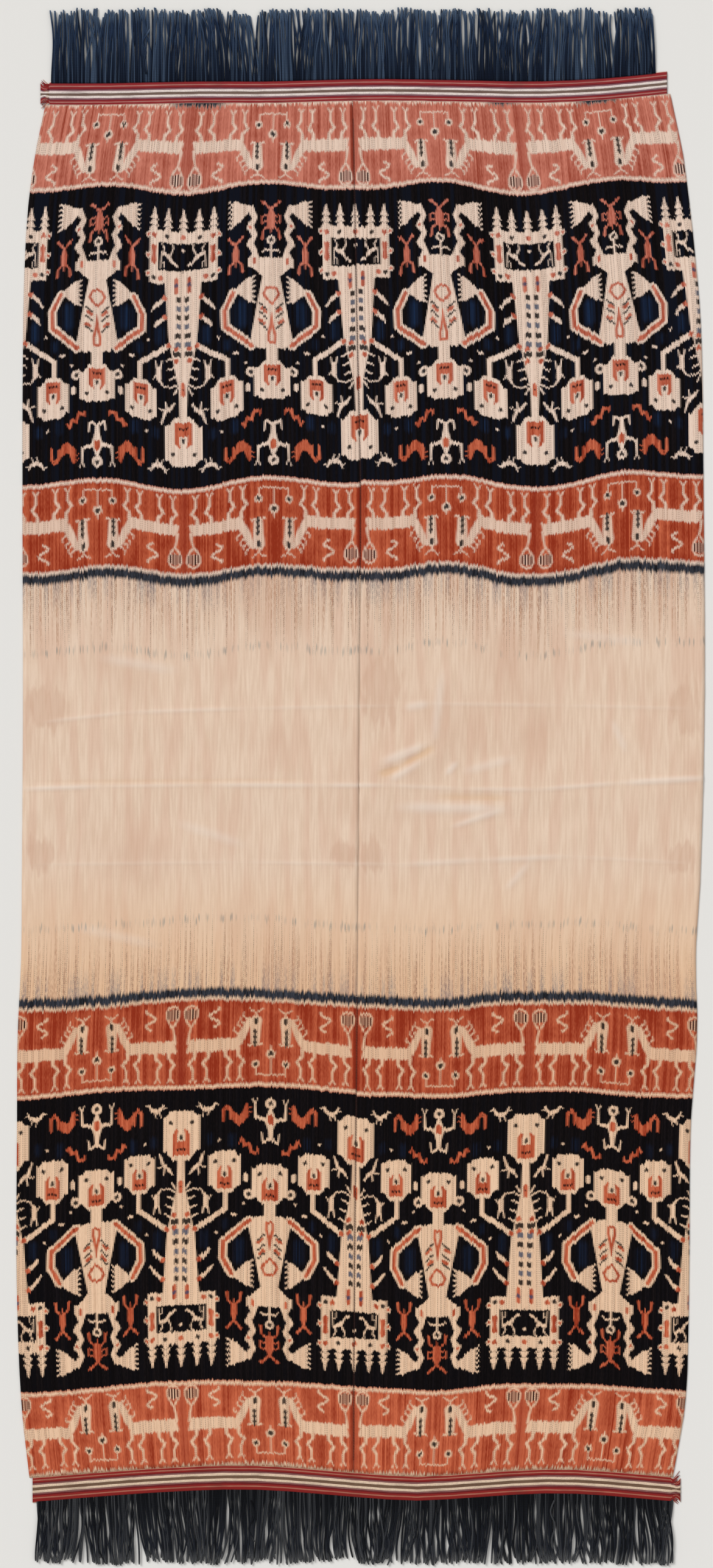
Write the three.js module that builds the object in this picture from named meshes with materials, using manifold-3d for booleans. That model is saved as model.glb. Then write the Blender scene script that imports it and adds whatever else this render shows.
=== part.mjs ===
// A man's mantle in warp ikat, laid out flat and face up. Two loom-width panels are joined by a seam down
// the middle, a narrow woven band crosses each end, and the warp ends run out beyond it as a fringe.
// Millimetres, +Z up, +Y towards the upper fringe, origin on the floor under the middle of the cloth.
import * as THREE from "three";
import { mergeVertices } from "three/addons/utils/BufferGeometryUtils.js";
import Module from "manifold-3d";

const wasm = await Module();
wasm.setup();

// Driving dimensions
const PANEL_THICKNESS = 1.4;
const BAND_THICKNESS = 2.4;
const BAND_CROWN = 0.8; // how much the middle of the band stands above its edges
const UPPER_BAND_WIDTH = 37;
const LOWER_BAND_WIDTH = 41;
const BAND_END_PINCH = 0.62; // width left where the band is tied off, as a share of its width
const BAND_END_LENGTH = 16; // length of the tied-off end
const JOIN_GAP = 0.3; // between pieces that are sewn or woven together
const FRINGE_STRIP = 4; // depth of the strip that the strands grow from
const STRAND_COUNT = 120;
const STRAND_WIDTH = 3.6;
const STRAND_HEIGHT = 2.2;
const STRAND_TIP_SHARE = 0.65; // width at the tip, as a share of the width at the root
const STRAND_STEPS = 3;
const STRAND_UNEVEN = 13; // strands end up to this far short of the longest one
const STRAND_LONGEST = 118; // index of the longest strand
const STRAND_BEND = 0.2; // share of its sway that a strand has taken up halfway along
const UPPER_REACH = 1279; // from the middle of the cloth to the longest strand
const LOWER_REACH = 1281;
const UPPER_FRINGE_INSET = 18; // from the end of the band to the first strand
const LOWER_FRINGE_INSET = 10;

const PANEL_COLUMNS = 10;
const PANEL_ROWS = 42;
const BAND_ROWS = 2;
const BAND_END_STEPS = 4;

const FOLD_TOUCH = 0.5; // relief below this lies flat on the floor
const FOLD_FADE = 70; // the folds die away over this distance from a band

// Side edges and seam at stations along the cloth. The ends are drawn in by the bands.
const OUTLINE = [
  { along: -1134, left: -539, seam: -11, right: 510 },
  { along: -1089, left: -549, seam: -11, right: 521 },
  { along: -1009, left: -557, seam: -11, right: 534 },
  { along: -909, left: -562, seam: -10, right: 538 },
  { along: -759, left: -565, seam: -9, right: 540 },
  { along: -559, left: -564, seam: -7, right: 542 },
  { along: -409, left: -563, seam: -6, right: 553 },
  { along: -284, left: -557, seam: -5, right: 550 },
  { along: -159, left: -556, seam: -4, right: 558 },
  { along: 141, left: -554, seam: -2, right: 565 },
  { along: 491, left: -555, seam: 0, right: 563 },
  { along: 741, left: -554, seam: -5, right: 559 },
  { along: 891, left: -550, seam: -8, right: 546 },
  { along: 991, left: -542, seam: -10, right: 534 },
  { along: 1041, left: -533, seam: -11, right: 527 },
  { along: 1091, left: -525, seam: -12, right: 514 },
  { along: 1121, left: -515, seam: -13, right: 504 },
];

// Centre lines of the two woven bands, which wander as the cloth under them does.
const UPPER_BAND_LINE = [
  { across: -526, along: 1137 },
  { across: -420, along: 1137 },
  { across: -267, along: 1140 },
  { across: -152, along: 1140 },
  { across: 17, along: 1144 },
  { across: 170, along: 1142 },
  { across: 285, along: 1140 },
  { across: 400, along: 1145 },
  { across: 503, along: 1155 },
];
const LOWER_BAND_LINE = [
  { across: -538, along: -1157 },
  { across: -324, along: -1141 },
  { across: -171, along: -1137 },
  { across: 5, along: -1150 },
  { across: 94, along: -1155 },
  { across: 323, along: -1143 },
  { across: 526, along: -1157 },
];

// Soft folds: a ridge from one point to another, with its half-width and its height.
const FOLDS = [
  { x0: -425, y0: 1075, x1: -440, y1: 820, spread: 50, height: 4.5 },
  { x0: -150, y0: 1080, x1: -158, y1: 860, spread: 50, height: 3.6 },
  { x0: 130, y0: 1078, x1: 128, y1: 860, spread: 48, height: 3.6 },
  { x0: 395, y0: 1085, x1: 420, y1: 800, spread: 54, height: 5.0 },
  { x0: -430, y0: -1085, x1: -440, y1: -860, spread: 50, height: 4.0 },
  { x0: -165, y0: -1080, x1: -170, y1: -890, spread: 52, height: 4.8 },
  { x0: 110, y0: -1090, x1: 112, y1: -940, spread: 44, height: 3.2 },
  { x0: 345, y0: -1085, x1: 330, y1: -840, spread: 54, height: 4.8 },
  { x0: -500, y0: 0, x1: 250, y1: -2, spread: 34, height: 2.2 },
  { x0: 270, y0: 8, x1: 540, y1: 14, spread: 34, height: 2.4 },
  { x0: -480, y0: 118, x1: 0, y1: 132, spread: 32, height: 1.8 },
  { x0: -370, y0: -126, x1: 330, y1: -112, spread: 32, height: 1.8 },
  { x0: 40, y0: 24, x1: 108, y1: 62, spread: 34, height: 2.6 },
  { x0: 108, y0: 62, x1: 122, y1: 165, spread: 34, height: 2.0 },
];

// Sideways sway of the strands, which gathers them into loose locks.
const STRAND_SWAY = [
  { wavelength: 63, amplitude: 3.0, phase: 0.4 },
  { wavelength: 143, amplitude: 5.5, phase: 1.9 },
];

const CREAM = "#e9c7a5";
const BAND_RED = "#8c2f33";
const INDIGO = "#1c2a44";

const clothMaterial = () => new THREE.MeshStandardMaterial({ color: CREAM, roughness: 0.92, metalness: 0 });
const bandMaterial = () => new THREE.MeshStandardMaterial({ color: BAND_RED, roughness: 0.9, metalness: 0 });
const fringeMaterial = () => new THREE.MeshStandardMaterial({ color: INDIGO, roughness: 0.95, metalness: 0 });

const lerp = THREE.MathUtils.lerp;
const smoothstep = THREE.MathUtils.smoothstep;

// One column of a table at a place between its rows, along a smooth curve through them.
function readTable(rows, key, column, place) {
  const last = rows.length - 1;
  const index = Math.max(1, rows.findIndex((row, i) => i === last || place < row[key]));
  const [low, high] = [rows[index - 1], rows[index]];
  const slopeAt = (i) => {
    const [before, after] = [rows[Math.max(0, i - 1)], rows[Math.min(last, i + 1)]];
    return (after[column] - before[column]) / (after[key] - before[key]);
  };
  const span = high[key] - low[key];
  const t = THREE.MathUtils.clamp((place - low[key]) / span, 0, 1);
  const ease = t * t * (3 - 2 * t);
  const curve = lerp(low[column], high[column], ease);
  return curve + span * t * (1 - t) * ((1 - t) * slopeAt(index - 1) - t * slopeAt(index));
}

// A repeatable number from 0 to 1 for each index, for what is uneven by hand.
function scatter(index) {
  const value = Math.sin(index * 12.9898 + 4.1) * 43758.5453;
  return value - Math.floor(value);
}

// Each band is tied off at one of its ends, -1 for the left one, and cut plain at the other.
const upperBand = { line: UPPER_BAND_LINE, width: UPPER_BAND_WIDTH, side: 1, tiedEnd: -1 };
const lowerBand = { line: LOWER_BAND_LINE, width: LOWER_BAND_WIDTH, side: -1, tiedEnd: 1 };

const bandCentre = (band, x) => readTable(band.line, "across", "along", x);
const bandInnerEdge = (band, x) => bandCentre(band, x) - band.side * (band.width / 2);
const bandOuterEdge = (band, x) => bandCentre(band, x) + band.side * (band.width / 2);

const [lowerEnd, upperEnd] = [OUTLINE[0].along, OUTLINE[OUTLINE.length - 1].along];

// Where a panel's column lies at a station along the cloth: share 0 is at the seam, 1 at the side edge.
function columnX(side, share, along) {
  const seam = readTable(OUTLINE, "along", "seam", along) + side * (JOIN_GAP / 2);
  return lerp(seam, readTable(OUTLINE, "along", side < 0 ? "left" : "right", along), share);
}

// Stations along a band from end to end. They include the panels' columns, so that the edges run parallel.
function bandStations(band) {
  const along = band.side > 0 ? upperEnd : lowerEnd;
  const [first, last] = [band.line[0].across, band.line[band.line.length - 1].across];
  const stations = [];
  for (let step = 0; step <= BAND_END_STEPS; step++) {
    const inset = (BAND_END_LENGTH * step) / BAND_END_STEPS;
    stations.push(first + inset, last - inset);
  }
  for (let column = 0; column <= PANEL_COLUMNS; column++) {
    for (const side of [-1, 1]) stations.push(columnX(side, column / PANEL_COLUMNS, along));
  }
  return stations.sort((a, b) => a - b);
}

// Height of the cloth's underside above the floor.
function foldRelief(x, y) {
  let relief = 0;
  for (const fold of FOLDS) {
    const run = new THREE.Vector2(fold.x1 - fold.x0, fold.y1 - fold.y0);
    const offset = new THREE.Vector2(x - fold.x0, y - fold.y0);
    const share = THREE.MathUtils.clamp(offset.dot(run) / run.lengthSq(), 0, 1);
    const distance = offset.addScaledVector(run, -share).length();
    relief += fold.height * Math.exp(-((distance / fold.spread) ** 2));
  }
  const toUpperBand = bandInnerEdge(upperBand, x) - y;
  const toLowerBand = y - bandInnerEdge(lowerBand, x);
  const fade = smoothstep(Math.min(toUpperBand, toLowerBand), 0, FOLD_FADE);
  return Math.max(0, relief * fade - FOLD_TOUCH);
}

// A closed sheet over a grid. sampleAt gives x, y and the lower and upper height at shares of the grid.
function sheetGeometry(columns, rows, sampleAt) {
  const positions = [];
  const indices = [];
  const samples = [];
  for (let row = 0; row <= rows; row++) {
    for (let column = 0; column <= columns; column++) samples.push(sampleAt(column / columns, row / rows));
  }
  for (const { x, y, high } of samples) positions.push(x, y, high);
  for (const { x, y, low } of samples) positions.push(x, y, low);
  const top = (column, row) => row * (columns + 1) + column;
  const bottom = (column, row) => samples.length + top(column, row);
  const quad = (a, b, c, d) => indices.push(a, b, c, a, c, d);
  for (let row = 0; row < rows; row++) {
    for (let column = 0; column < columns; column++) {
      quad(top(column, row), top(column + 1, row), top(column + 1, row + 1), top(column, row + 1));
      quad(bottom(column, row), bottom(column, row + 1), bottom(column + 1, row + 1), bottom(column + 1, row));
    }
    quad(bottom(0, row), top(0, row), top(0, row + 1), bottom(0, row + 1));
    quad(top(columns, row), bottom(columns, row), bottom(columns, row + 1), top(columns, row + 1));
  }
  for (let column = 0; column < columns; column++) {
    quad(top(column, 0), bottom(column, 0), bottom(column + 1, 0), top(column + 1, 0));
    quad(bottom(column, rows), top(column, rows), top(column + 1, rows), bottom(column + 1, rows));
  }
  const geometry = new THREE.BufferGeometry();
  geometry.setAttribute("position", new THREE.Float32BufferAttribute(positions, 3));
  geometry.setIndex(indices);
  return geometry;
}

// One loom width of cloth, from the seam to a side edge. Its ends follow the edges of the bands.
function panelGeometry(side) {
  return sheetGeometry(PANEL_COLUMNS, PANEL_ROWS, (across, along) => {
    const nominal = lerp(lowerEnd, upperEnd, along);
    const x = columnX(side, side < 0 ? 1 - across : across, nominal);
    const upperShift = bandInnerEdge(upperBand, x) - JOIN_GAP - upperEnd;
    const lowerShift = bandInnerEdge(lowerBand, x) + JOIN_GAP - lowerEnd;
    const y = nominal + lerp(lowerShift, upperShift, along);
    const low = foldRelief(x, y);
    return { x, y, low, high: low + PANEL_THICKNESS };
  });
}

// The woven band: a crowned strip along its centre line, drawn together where it is tied off.
function bandGeometry(band) {
  const stations = bandStations(band);
  const [first, last] = [stations[0], stations[stations.length - 1]];
  return sheetGeometry(stations.length - 1, BAND_ROWS, (along, across) => {
    const x = stations[Math.round(along * (stations.length - 1))];
    const toTiedEnd = band.tiedEnd < 0 ? x - first : last - x;
    const pinch = 1 - (1 - BAND_END_PINCH) * Math.sin(Math.PI * Math.min(1, toTiedEnd / BAND_END_LENGTH));
    const y = bandCentre(band, x) + (across - 0.5) * band.width * pinch;
    const crown = BAND_CROWN * (1 - (2 * across - 1) ** 2);
    return { x, y, low: 0, high: BAND_THICKNESS - BAND_CROWN + crown };
  });
}

// A closed mesh with its shared vertices merged, as a solid that can be joined.
function solidOf(geometry) {
  const merged = mergeVertices(geometry);
  return new wasm.Manifold(
    new wasm.Mesh({
      numProp: 3,
      vertProperties: merged.attributes.position.array,
      triVerts: new Uint32Array(merged.index.array),
    }),
  );
}

function geometryOf(solid) {
  const mesh = solid.getMesh();
  const geometry = new THREE.BufferGeometry();
  geometry.setAttribute("position", new THREE.BufferAttribute(mesh.vertProperties, 3));
  geometry.setIndex(new THREE.BufferAttribute(mesh.triVerts, 1));
  return geometry;
}

// One strand: a three-sided lock that lies level on the floor along a bent line from root to tip.
function strandGeometry(root, bend, tip) {
  const points = new THREE.QuadraticBezierCurve(root, bend, tip).getPoints(STRAND_STEPS);
  const positions = [];
  const indices = [];
  points.forEach((point, step) => {
    const taper = lerp(1, STRAND_TIP_SHARE, step / STRAND_STEPS);
    const half = (STRAND_WIDTH * taper) / 2;
    positions.push(point.x - half, point.y, 0);
    positions.push(point.x + half, point.y, 0);
    positions.push(point.x, point.y, STRAND_HEIGHT * taper);
  });
  for (let step = 0; step < STRAND_STEPS; step++) {
    const here = 3 * step;
    for (let corner = 0; corner < 3; corner++) {
      const [a, b] = [here + corner, here + ((corner + 1) % 3)];
      indices.push(a, b + 3, b, a, a + 3, b + 3);
    }
  }
  const end = 3 * STRAND_STEPS;
  indices.push(0, 1, 2, end, end + 2, end + 1);
  if (tip.y < root.y) indices.reverse();
  const geometry = new THREE.BufferGeometry();
  geometry.setAttribute("position", new THREE.Float32BufferAttribute(positions, 3));
  geometry.setIndex(indices);
  return geometry;
}

// The fringe of one end: a strip along the outer edge of the band with strands growing out of it.
function fringeGeometry(band, reach, inset) {
  const ends = bandStations(band);
  const [first, last] = [ends[0] + inset, ends[ends.length - 1] - inset];
  const stations = [first, ...ends.filter((x) => x > first && x < last), last];
  const strip = sheetGeometry(stations.length - 1, 1, (along, across) => {
    const x = stations[Math.round(along * (stations.length - 1))];
    const inner = bandOuterEdge(band, x) + band.side * JOIN_GAP;
    const outer = inner + band.side * FRINGE_STRIP;
    const y = band.side > 0 ? lerp(inner, outer, across) : lerp(outer, inner, across);
    return { x, y, low: 0, high: STRAND_HEIGHT };
  });
  const solids = [solidOf(strip)];
  for (let index = 0; index < STRAND_COUNT; index++) {
    const x = lerp(first + STRAND_WIDTH, last - STRAND_WIDTH, index / (STRAND_COUNT - 1));
    const sway = STRAND_SWAY.reduce(
      (sum, wave) => sum + wave.amplitude * Math.sin((2 * Math.PI * x) / wave.wavelength + wave.phase),
      0,
    );
    const shortfall = index === STRAND_LONGEST ? 0 : STRAND_UNEVEN * scatter(index * band.side);
    const root = new THREE.Vector2(x, bandOuterEdge(band, x) + band.side * (JOIN_GAP + FRINGE_STRIP / 2));
    const tip = new THREE.Vector2(x + sway, band.side * (reach - shortfall));
    const bend = new THREE.Vector2(x + sway * STRAND_BEND, (root.y + tip.y) / 2);
    solids.push(solidOf(strandGeometry(root, bend, tip)));
  }
  return geometryOf(wasm.Manifold.union(solids));
}

function piece(name, geometry, material) {
  const mesh = new THREE.Mesh(geometry, material);
  mesh.name = name;
  return mesh;
}

const layout = new THREE.Group();
layout.add(
  piece("panel_left", panelGeometry(-1), clothMaterial()),
  piece("panel_right", panelGeometry(1), clothMaterial()),
  piece("band_upper", bandGeometry(upperBand), bandMaterial()),
  piece("band_lower", bandGeometry(lowerBand), bandMaterial()),
  piece("fringe_upper", fringeGeometry(upperBand, UPPER_REACH, UPPER_FRINGE_INSET), fringeMaterial()),
  piece("fringe_lower", fringeGeometry(lowerBand, LOWER_REACH, LOWER_FRINGE_INSET), fringeMaterial()),
);

// The origin is under the middle of the whole outline.
const middle = new THREE.Box3().setFromObject(layout).getCenter(new THREE.Vector3());
layout.position.set(-middle.x, -middle.y, 0);

const mantle = new THREE.Group();
mantle.add(layout);

export default mantle;
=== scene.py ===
import math

import bpy
import numpy as np
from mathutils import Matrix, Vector
from mathutils.bvhtree import BVHTree


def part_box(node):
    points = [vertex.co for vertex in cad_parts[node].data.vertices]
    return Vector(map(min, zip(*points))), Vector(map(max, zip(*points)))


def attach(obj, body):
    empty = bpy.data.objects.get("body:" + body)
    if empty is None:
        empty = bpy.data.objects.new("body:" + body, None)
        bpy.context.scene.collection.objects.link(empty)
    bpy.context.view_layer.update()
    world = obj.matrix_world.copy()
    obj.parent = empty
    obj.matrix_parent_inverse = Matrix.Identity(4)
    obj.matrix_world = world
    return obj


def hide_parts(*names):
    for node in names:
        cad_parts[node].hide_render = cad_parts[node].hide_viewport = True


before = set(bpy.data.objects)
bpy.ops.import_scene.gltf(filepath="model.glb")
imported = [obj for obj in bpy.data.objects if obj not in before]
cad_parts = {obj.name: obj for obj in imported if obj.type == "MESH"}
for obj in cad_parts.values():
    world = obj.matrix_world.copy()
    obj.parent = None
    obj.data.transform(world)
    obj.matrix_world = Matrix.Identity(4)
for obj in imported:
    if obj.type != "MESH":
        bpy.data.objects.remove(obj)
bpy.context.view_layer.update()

# Lengths in the tables below are millimetres, and the meshes are metres
MM = 0.001
SEED = 5915


# The woven chart, drawn in millimetres. One half repeat is charted, from the middle of a tree
# (across 0) to the middle of a figure (across HALF_REPEAT), and the cloth mirrors it.
HALF_REPEAT = 142
CREAM, RED, INK, BLUE, STEEL = DYES = ("cream", "red", "ink", "blue", "steel")

# The tree of heads on its fenced base, right of its middle line. Lines: dye and round points (across,
# along, half width). Blocks: dye, middle across, low end, high end, half width low and high.
# Dots: dye, radius and places (across, along).
TREE_LINES = (
    (RED, (0, 311, 4), (0, 326, 4.6)),
    # Barbs of the upper trunk, then the thorns of the lower trunk
    (CREAM, (9, 317, 2.4), (15, 327, 1.8)),
    (CREAM, (12, 299, 2.4), (22, 304, 1.8)),
    (CREAM, (15, 285, 2.4), (25, 289, 1.8)),
    (CREAM, (18, 270, 2.4), (27, 275, 1.8)),
    (CREAM, (30, 202, 4), (42, 212, 4), (46, 219, 2.2)),
    (CREAM, (31, 170, 4), (42, 180, 3.6), (51, 192, 2.2)),
    # Branch of the side head
    (CREAM, (24, 250, 5), (71, 283, 4.6), (71, 312, 4.4)),
    # Marks at the foot of the trunk and on the base
    (RED, (10.5, 138, 4), (10.5, 158, 4)),
    (RED, (48.5, 91, 5.4), (48.5, 101, 3.8), (48.5, 112, 5.4)),
    # Animal and dot in the window
    (CREAM, (10, 116, 3), (17, 112, 2.4), (24, 102, 4), (34, 98, 3.2)),
    (CREAM, (21, 100, 2.2), (16, 90, 1.8), (17, 84, 1.8)),
    (CREAM, (33, 98, 2.2), (31, 90, 1.8), (35, 84, 1.8)),
    (CREAM, (36, 100, 1.6), (37, 121, 1.6)),
    (CREAM, (31, 121, 1.4), (31, 113, 1.4), (37, 111, 1.4)),
    (CREAM, (0, 93, 3.4)),
    # Animals that hang beside the pole
    (CREAM, (36, 376, 2), (30, 358, 3.4), (21, 351, 3.6), (14, 341, 1.8)),
    (CREAM, (27, 353, 2.4), (29, 341, 1.8)),
    (CREAM, (29, 354, 2.2), (39, 353, 1.8)),
    (CREAM, (8, 310, 2), (20, 317, 1.9), (33, 315, 1.9), (41, 303, 3.4)),
    (CREAM, (40, 303, 5), (40, 288, 4.6)),
    (CREAM, (37, 288, 2.2), (34.5, 276, 1.8)),
    (CREAM, (43, 288, 2.2), (45, 276, 1.8)),
    (CREAM, (44, 300, 2), (48.5, 306, 1.6)),
)
TREE_BLOCKS = (
    # Pole and trunk, from the top head down to the base
    (CREAM, 0, 312, 370, 8, 6.5),
    (CREAM, 0, 246, 319, 23, 7.5),
    (CREAM, 0, 127, 252, 32, 23),
    # Fenced base
    (CREAM, 24, 124, 147, 24, 24),
    (CREAM, 48.5, 60, 148, 8, 8),
    (CREAM, 24, 61, 82, 30, 30),
)
TREE_DOTS = (
    (INK, 2, (0, 319)),
    (RED, 5, (11, 273), (23, 250), (10.5, 253), (29.5, 201), (30, 169)),
    (STEEL, 4.2, (10.5, 147)),
    # Bumps and marks of the base
    (CREAM, 6, (57, 133), (57, 104), (57, 71)),
    (RED, 3.4, (58, 133), (58, 104), (58, 71)),
    (RED, 5, (48.5, 71), (0, 71), (37, 137)),
    (INK, 4.4, (48.5, 138), (27, 71)),
)
# Pairs of square marks down the trunk: dye, place along and width
TRUNK_MARKS = (
    (INK, 262, 15),
    (STEEL, 246, 11.5),
    (INK, 231, 11.5),
    (STEEL, 215, 9),
    (INK, 199.5, 9),
    (STEEL, 185, 9),
    (INK, 170, 9),
)
# Serrated spires below the base: their middles, and the low end, high end and half widths of each step
SPIRES = (0, 25.5, 49)
SPIRE_STEPS = ((54, 66, 3, 10), (43.5, 55.5, 2.8, 9), (33, 45, 2.6, 8), (24, 35, 1.6, 4))

# The standing figure, left of its middle line, which its places across count from
FIGURE_LINES = (
    # Oval beside the head
    (CREAM, (-39, 331, 4.4), (-39, 338, 4.4)),
    # Breast mark, ribs and belly ring
    (RED, (0, 214, 1.6), (-1, 232, 3.4), (-5.4, 249, 3), (-5, 260, 3)),
    (RED, (-5, 260, 3), (0, 261, 3)),
    (INK, (-8, 240, 2.2), (-19, 230, 2.2)),
    (INK, (-8, 223, 2.2), (-19, 213, 2.2)),
    (INK, (-8, 209, 2.2), (-19, 199, 2.2)),
    (RED, (-12, 231, 3.2), (-19, 226, 3.4)),
    (RED, (-9, 213, 3.4), (-15, 208, 3.8)),
    (RED, (0, 200, 2.6), (-8, 192, 3), (-12.5, 184, 3)),
    (RED, (-12.5, 184, 3), (-8, 175, 3), (0, 173, 3)),
    # Knee mark, then the small cross between the legs
    (RED, (-27, 124, 3.2), (-27, 131, 3.2)),
    (CREAM, (0, 98, 2.4), (0, 123, 2.4)),
    (CREAM, (0, 110, 2.4), (-10, 110, 2.4), (-14, 113, 1.8)),
    # Middle legs of the large crayfish
    (RED, (0, 62, 2.2), (-15, 65, 2), (-15, 54, 2)),
    (RED, (0, 54, 2.2), (-15, 54, 2)),
    # Small person above the head
    (CREAM, (0, 446, 3), (0, 428, 10), (0, 410, 5), (0, 397, 4)),
    (RED, (0, 432, 5.6), (0, 425, 5.6)),
    (CREAM, (-8, 428, 4), (-24, 431, 3), (-25, 456, 2)),
    (CREAM, (-25, 452, 1.6), (-29, 462, 1.6)),
    (CREAM, (-25, 452, 1.6), (-21, 462, 1.6)),
    (CREAM, (0, 397, 3.4), (-12, 391, 2.6), (-14, 405, 2)),
)
FIGURE_BLOCKS = (
    (CREAM, 0, 258, 300, 10, 10),
    (CREAM, 0, 253, 272, 37, 22),
    (CREAM, 0, 152, 260, 14.5, 36),
    (CREAM, 0, 134, 155, 37, 14.5),
    (CREAM, 0, 122, 138, 38, 38),
)
FIGURE_DOTS = (
    # Ear ring, ring between the legs, and the small person's head
    (CREAM, 9, (-34, 308)),
    (CREAM, 8, (0, 93)),
    (CREAM, 9.4, (0, 455)),
    (INK, 4.4, (-34, 308), (0, 93), (0, 455)),
    (RED, 3.4, (-34, 69)),
    (CREAM, 2.6, (0, 64), (0, 59)),
)
ARM = ((-32, 265), (-74, 228), (-75, 202), (-61, 176))

# Small animals and dots between the trees and the figures
BETWEEN_LINES = (
    # Rooster: hanging head, deep breast and spiked tail
    (RED, (67, 425, 2.8), (67, 444, 3.4), (73, 449, 4.2), (79, 443, 3.4), (79, 428, 2.8)),
    (RED, (80, 439, 4.2), (91, 426, 8.4), (101, 434, 6.6), (104, 452, 3.2)),
    (RED, (104, 440, 1.8), (111, 441, 1.6)),
    (RED, (104, 447, 1.8), (111, 449, 1.6)),
    # Red curl
    (RED, (93, 390, 2.4), (97, 395, 3.2), (101, 384, 3.4), (108, 387, 3.2)),
    (RED, (108, 387, 3.2), (112, 374, 3.4), (121, 374, 3.2), (122, 380, 2)),
    # Small dog
    (CREAM, (29, 457, 1.8), (33, 449, 2.8), (40, 446, 4.6), (49, 448, 3.6)),
    (CREAM, (49, 448, 3.6), (54, 456, 2.2), (59, 454, 1.6)),
    (CREAM, (37, 445, 2), (34, 436, 1.5)),
    (CREAM, (45, 445, 2), (42, 436, 1.5)),
    (CREAM, (31, 452, 1.6), (25, 451, 1.4)),
    (CREAM, (82, 274, 3), (87, 274, 3)),
    # Faint blue patches in the dark ground
    (BLUE, (81, 386, 5), (81, 398, 5)),
    (BLUE, (46, 391, 4), (46, 400, 4)),
    (BLUE, (38, 224, 6), (38, 242, 6)),
    (BLUE, (94, 200, 8), (94, 226, 8)),
    (BLUE, (71, 254, 4), (71, 262, 4)),
)
BETWEEN_DOTS = (
    (INK, 1.8, (71, 447)),
    (CREAM, 3, (60.5, 394), (100, 292), (57, 243)),
)

# A horse with its raised tail at the tree's middle line, facing the flowers at the figure's
HORSE_LINES = (
    # Stem of the tail, rump, neck and hanging head
    (CREAM, (11, 76, 3.4), (12, 88, 2.4), (15, 100, 2)),
    (CREAM, (15, 70, 6), (10, 62, 3)),
    (CREAM, (88, 70, 7), (96, 84, 7), (106, 106, 6)),
    (CREAM, (108, 108, 6), (118, 108, 10), (117, 90, 9), (117, 74, 8)),
    (CREAM, (107, 68, 2.6), (127, 68, 2.6)),
    (INK, (118, 106, 3.8), (118, 111, 3.8)),
    (INK, (116.5, 94, 2.4), (116.5, 67, 2.8)),
    # Forked ears
    (CREAM, (119, 116, 2.6), (118, 122, 2), (108, 128, 1.8)),
    (CREAM, (118, 122, 2), (129, 129, 1.8)),
    # Stems and base line of the flowers
    (CREAM, (HALF_REPEAT, 60, 2.6), (HALF_REPEAT, 66, 1.4)),
    (CREAM, (HALF_REPEAT, 45, 1.6), (HALF_REPEAT, 19, 1.6)),
    (CREAM, (118.5, 30, 1.6), (118.5, 19, 1.8), (HALF_REPEAT, 19, 1.9)),
)
HORSE_BLOCKS = ((CREAM, 52, 59, 80, 42, 40),)
HORSE_DOTS = ((INK, 4, (116.5, 90), (116.5, 81), (116.5, 72)),)
# Flowers: place across and along, and radius
FLOWERS = ((HALF_REPEAT, 53, 8.4), (117.5, 36, 7.2))
MANE = ((104, 112), (100, 104), (96, 96), (90, 86))
# Legs: place across of the hip, and how far the knee bends, back behind and forward in front
LEGS = ((21, -9), (43, -9), (70, 9), (90, 9))
TAIL_MIDDLE = 15
TAIL_RIB_PITCH = 2.5


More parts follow.
